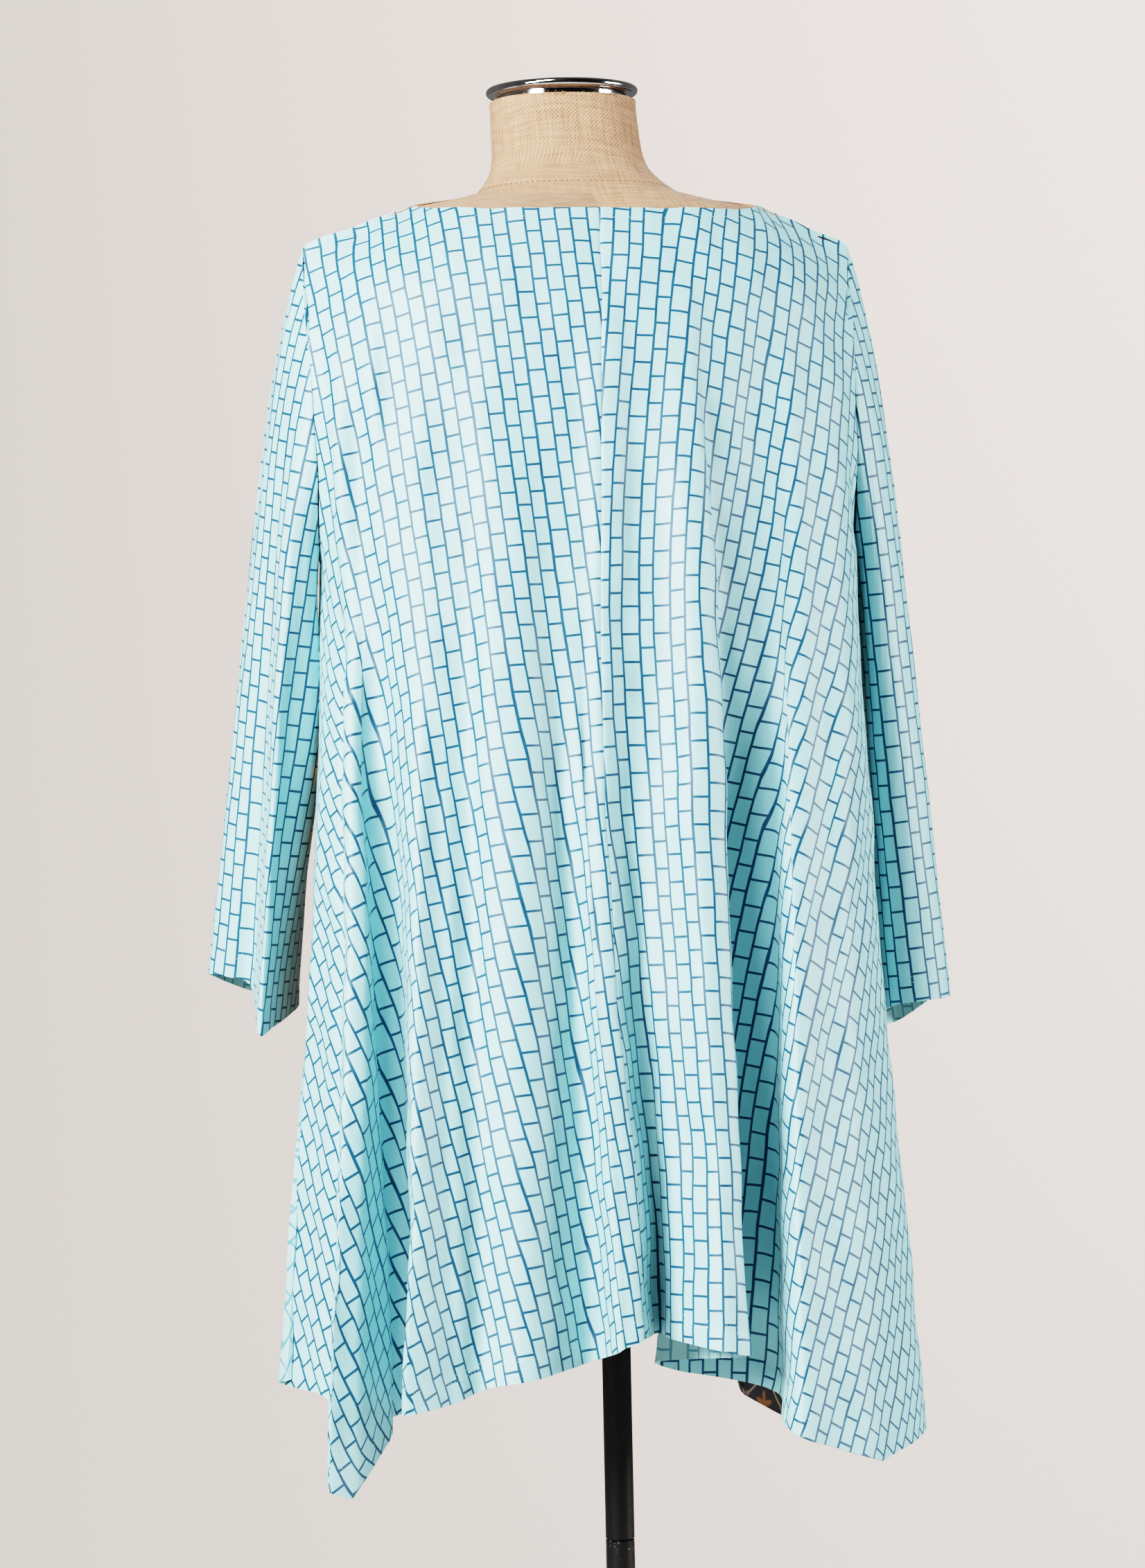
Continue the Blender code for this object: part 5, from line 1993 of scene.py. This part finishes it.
@dataclass
class Studio:
    """A pale floor and surround, soft lights and a long-lens camera behind the tunic."""

    azimuth: float = -10.0
    roll: float = 1.2
    distance: float = 3.44
    height: float = 0.99
    sideways: float = -0.0244
    lens: float = 103.24
    sensor: float = 36.0
    floor_radius: float = 1.9
    # Linear light, which the film curve brings to pale warm greys: low left and right, high left
    # and right. This is painted light, darker to the left and brightest at the upper right.
    surround_painted_light: tuple[tuple[tuple[float, ...], ...], ...] = (
        ((0.78, 0.69, 0.62), (0.98, 0.86, 0.79)),
        ((0.78, 0.69, 0.62), (1.40, 1.15, 1.03)),
    )
    surround: float = 0.16
    # The sines of the angles, either way, over which the surround passes between its corners.
    surround_across: float = 0.13
    surround_up: float = 0.17
    aim: tuple[float, float, float] = (0, -0.05, 1.0)

    def build(self) -> None:
        """Sets up all of it."""
        self.floor()
        self.world()
        for lamp in LAMPS:
            self.light(lamp)
        self.camera()
        view = bpy.context.scene.view_settings
        view.view_transform = "Filmic"
        view.look = "Very High Contrast"

    def floor(self) -> None:
        """A pale disc under the base."""
        angle = np.linspace(0, 2 * math.pi, 128, endpoint=False)
        ring = np.stack([np.cos(angle), np.sin(angle), 0 * angle], -1) * self.floor_radius / MM
        points = np.concatenate([ring, [[0, 0, 0]]])
        faces = fan(np.append(np.arange(128), 0), 128, True)
        floor = to_object("studio_floor", new_mesh("studio_floor", points, faces))
        material = bpy.data.materials.new("studio_floor_paint")
        material.use_nodes = True
        shader = material.node_tree.nodes["Principled BSDF"]
        shader.inputs["Roughness"].default_value = 0.8
        shader.inputs["Base Color"].default_value = hex_colour("#DEDAD6")
        floor.data.materials.append(material)

    def world(self) -> None:
        """Pale light from all round, behind a surround with painted light: darker left, brightest
        upper right.
        """
        world = bpy.data.worlds.new("studio")
        world.use_nodes = True
        bpy.context.scene.world = world
        tree = world.node_tree
        tree.nodes.clear()
        way = place(tree, "TexCoord").outputs["Generated"]
        turn = math.radians(self.azimuth)
        _, depth, height = split(tree, way)
        level = vector(tree, "DOT_PRODUCT", way, (math.cos(turn), math.sin(turn), 0))
        across, up = (
            place(tree, "MapRange", None, value, -reach, reach, 0.0, 1.0).outputs[0]
            for value, reach in ((level, self.surround_across), (height, self.surround_up))
        )
        # Painted light on the surround, seen by camera rays only: darker to the left, brightest high
        # right.
        rows = [
            blend(tree, across, (*left, 1), (*right, 1)) for left, right in self.surround_painted_light
        ]
        painted_surround = place(tree, "Background", None, blend(tree, up, *rows), 1.0)
        bright = place(tree, "MapRange", None, depth, -0.7, 0.6, 0.16, 1.1)
        strength = calc(tree, "MULTIPLY", bright.outputs[0], self.surround)
        lit = place(tree, "Background", None, (1.0, 0.99, 0.98, 1.0), strength)
        camera_ray = place(tree, "LightPath").outputs["Is Camera Ray"]
        both = place(tree, "MixShader", None, camera_ray, lit.outputs[0], painted_surround.outputs[0])
        place(tree, "OutputWorld", None, both.outputs[0])

    def light(self, lamp: Lamp) -> None:
        """Sets up one light of the table."""
        light = bpy.data.lights.new(lamp.name, "AREA")
        light.shape = "SQUARE"
        light.size = lamp.size
        light.energy = lamp.power
        light.color = hex_colour(lamp.colour)[:3]
        piece = bpy.data.objects.new(lamp.name, light)
        bpy.context.scene.collection.objects.link(piece)
        turn = (Vector(self.aim) - Vector(lamp.place)).to_track_quat("-Z", "Y").to_matrix()
        piece.matrix_world = Matrix.Translation(lamp.place) @ turn.to_4x4()

    def camera(self) -> None:
        """The camera, level, turned by azimuth about the pole and rolled a little."""
        turn, roll = math.radians(self.azimuth), math.radians(self.roll)
        right = Vector((math.cos(turn), math.sin(turn), 0))
        ahead = Vector((-math.sin(turn), math.cos(turn), 0))
        up = Vector((0, 0, 1))
        lens = bpy.data.cameras.new("camera")
        lens.sensor_fit = "VERTICAL"
        lens.sensor_height = self.sensor
        lens.lens = self.lens
        lens.clip_start = 0.1
        camera = bpy.data.objects.new("camera", lens)
        bpy.context.scene.collection.objects.link(camera)
        where = -self.distance * ahead + self.sideways * right + self.height * up
        x = right * math.cos(roll) - up * math.sin(roll)
        y = right * math.sin(roll) + up * math.cos(roll)
        matrix = Matrix((x, y, -ahead)).transposed().to_4x4()
        camera.matrix_world = Matrix.Translation(where) @ matrix
        bpy.context.scene.camera = camera


def main() -> None:
    """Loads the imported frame, builds every sub-assembly round it and sets up the studio."""
    logging.basicConfig(level=logging.INFO, format="%(name)s: %(message)s")
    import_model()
    Tunic().build()
    DressForm().build()
    Stand().build()
    Studio().build()


if __name__ == "__main__":
    main()
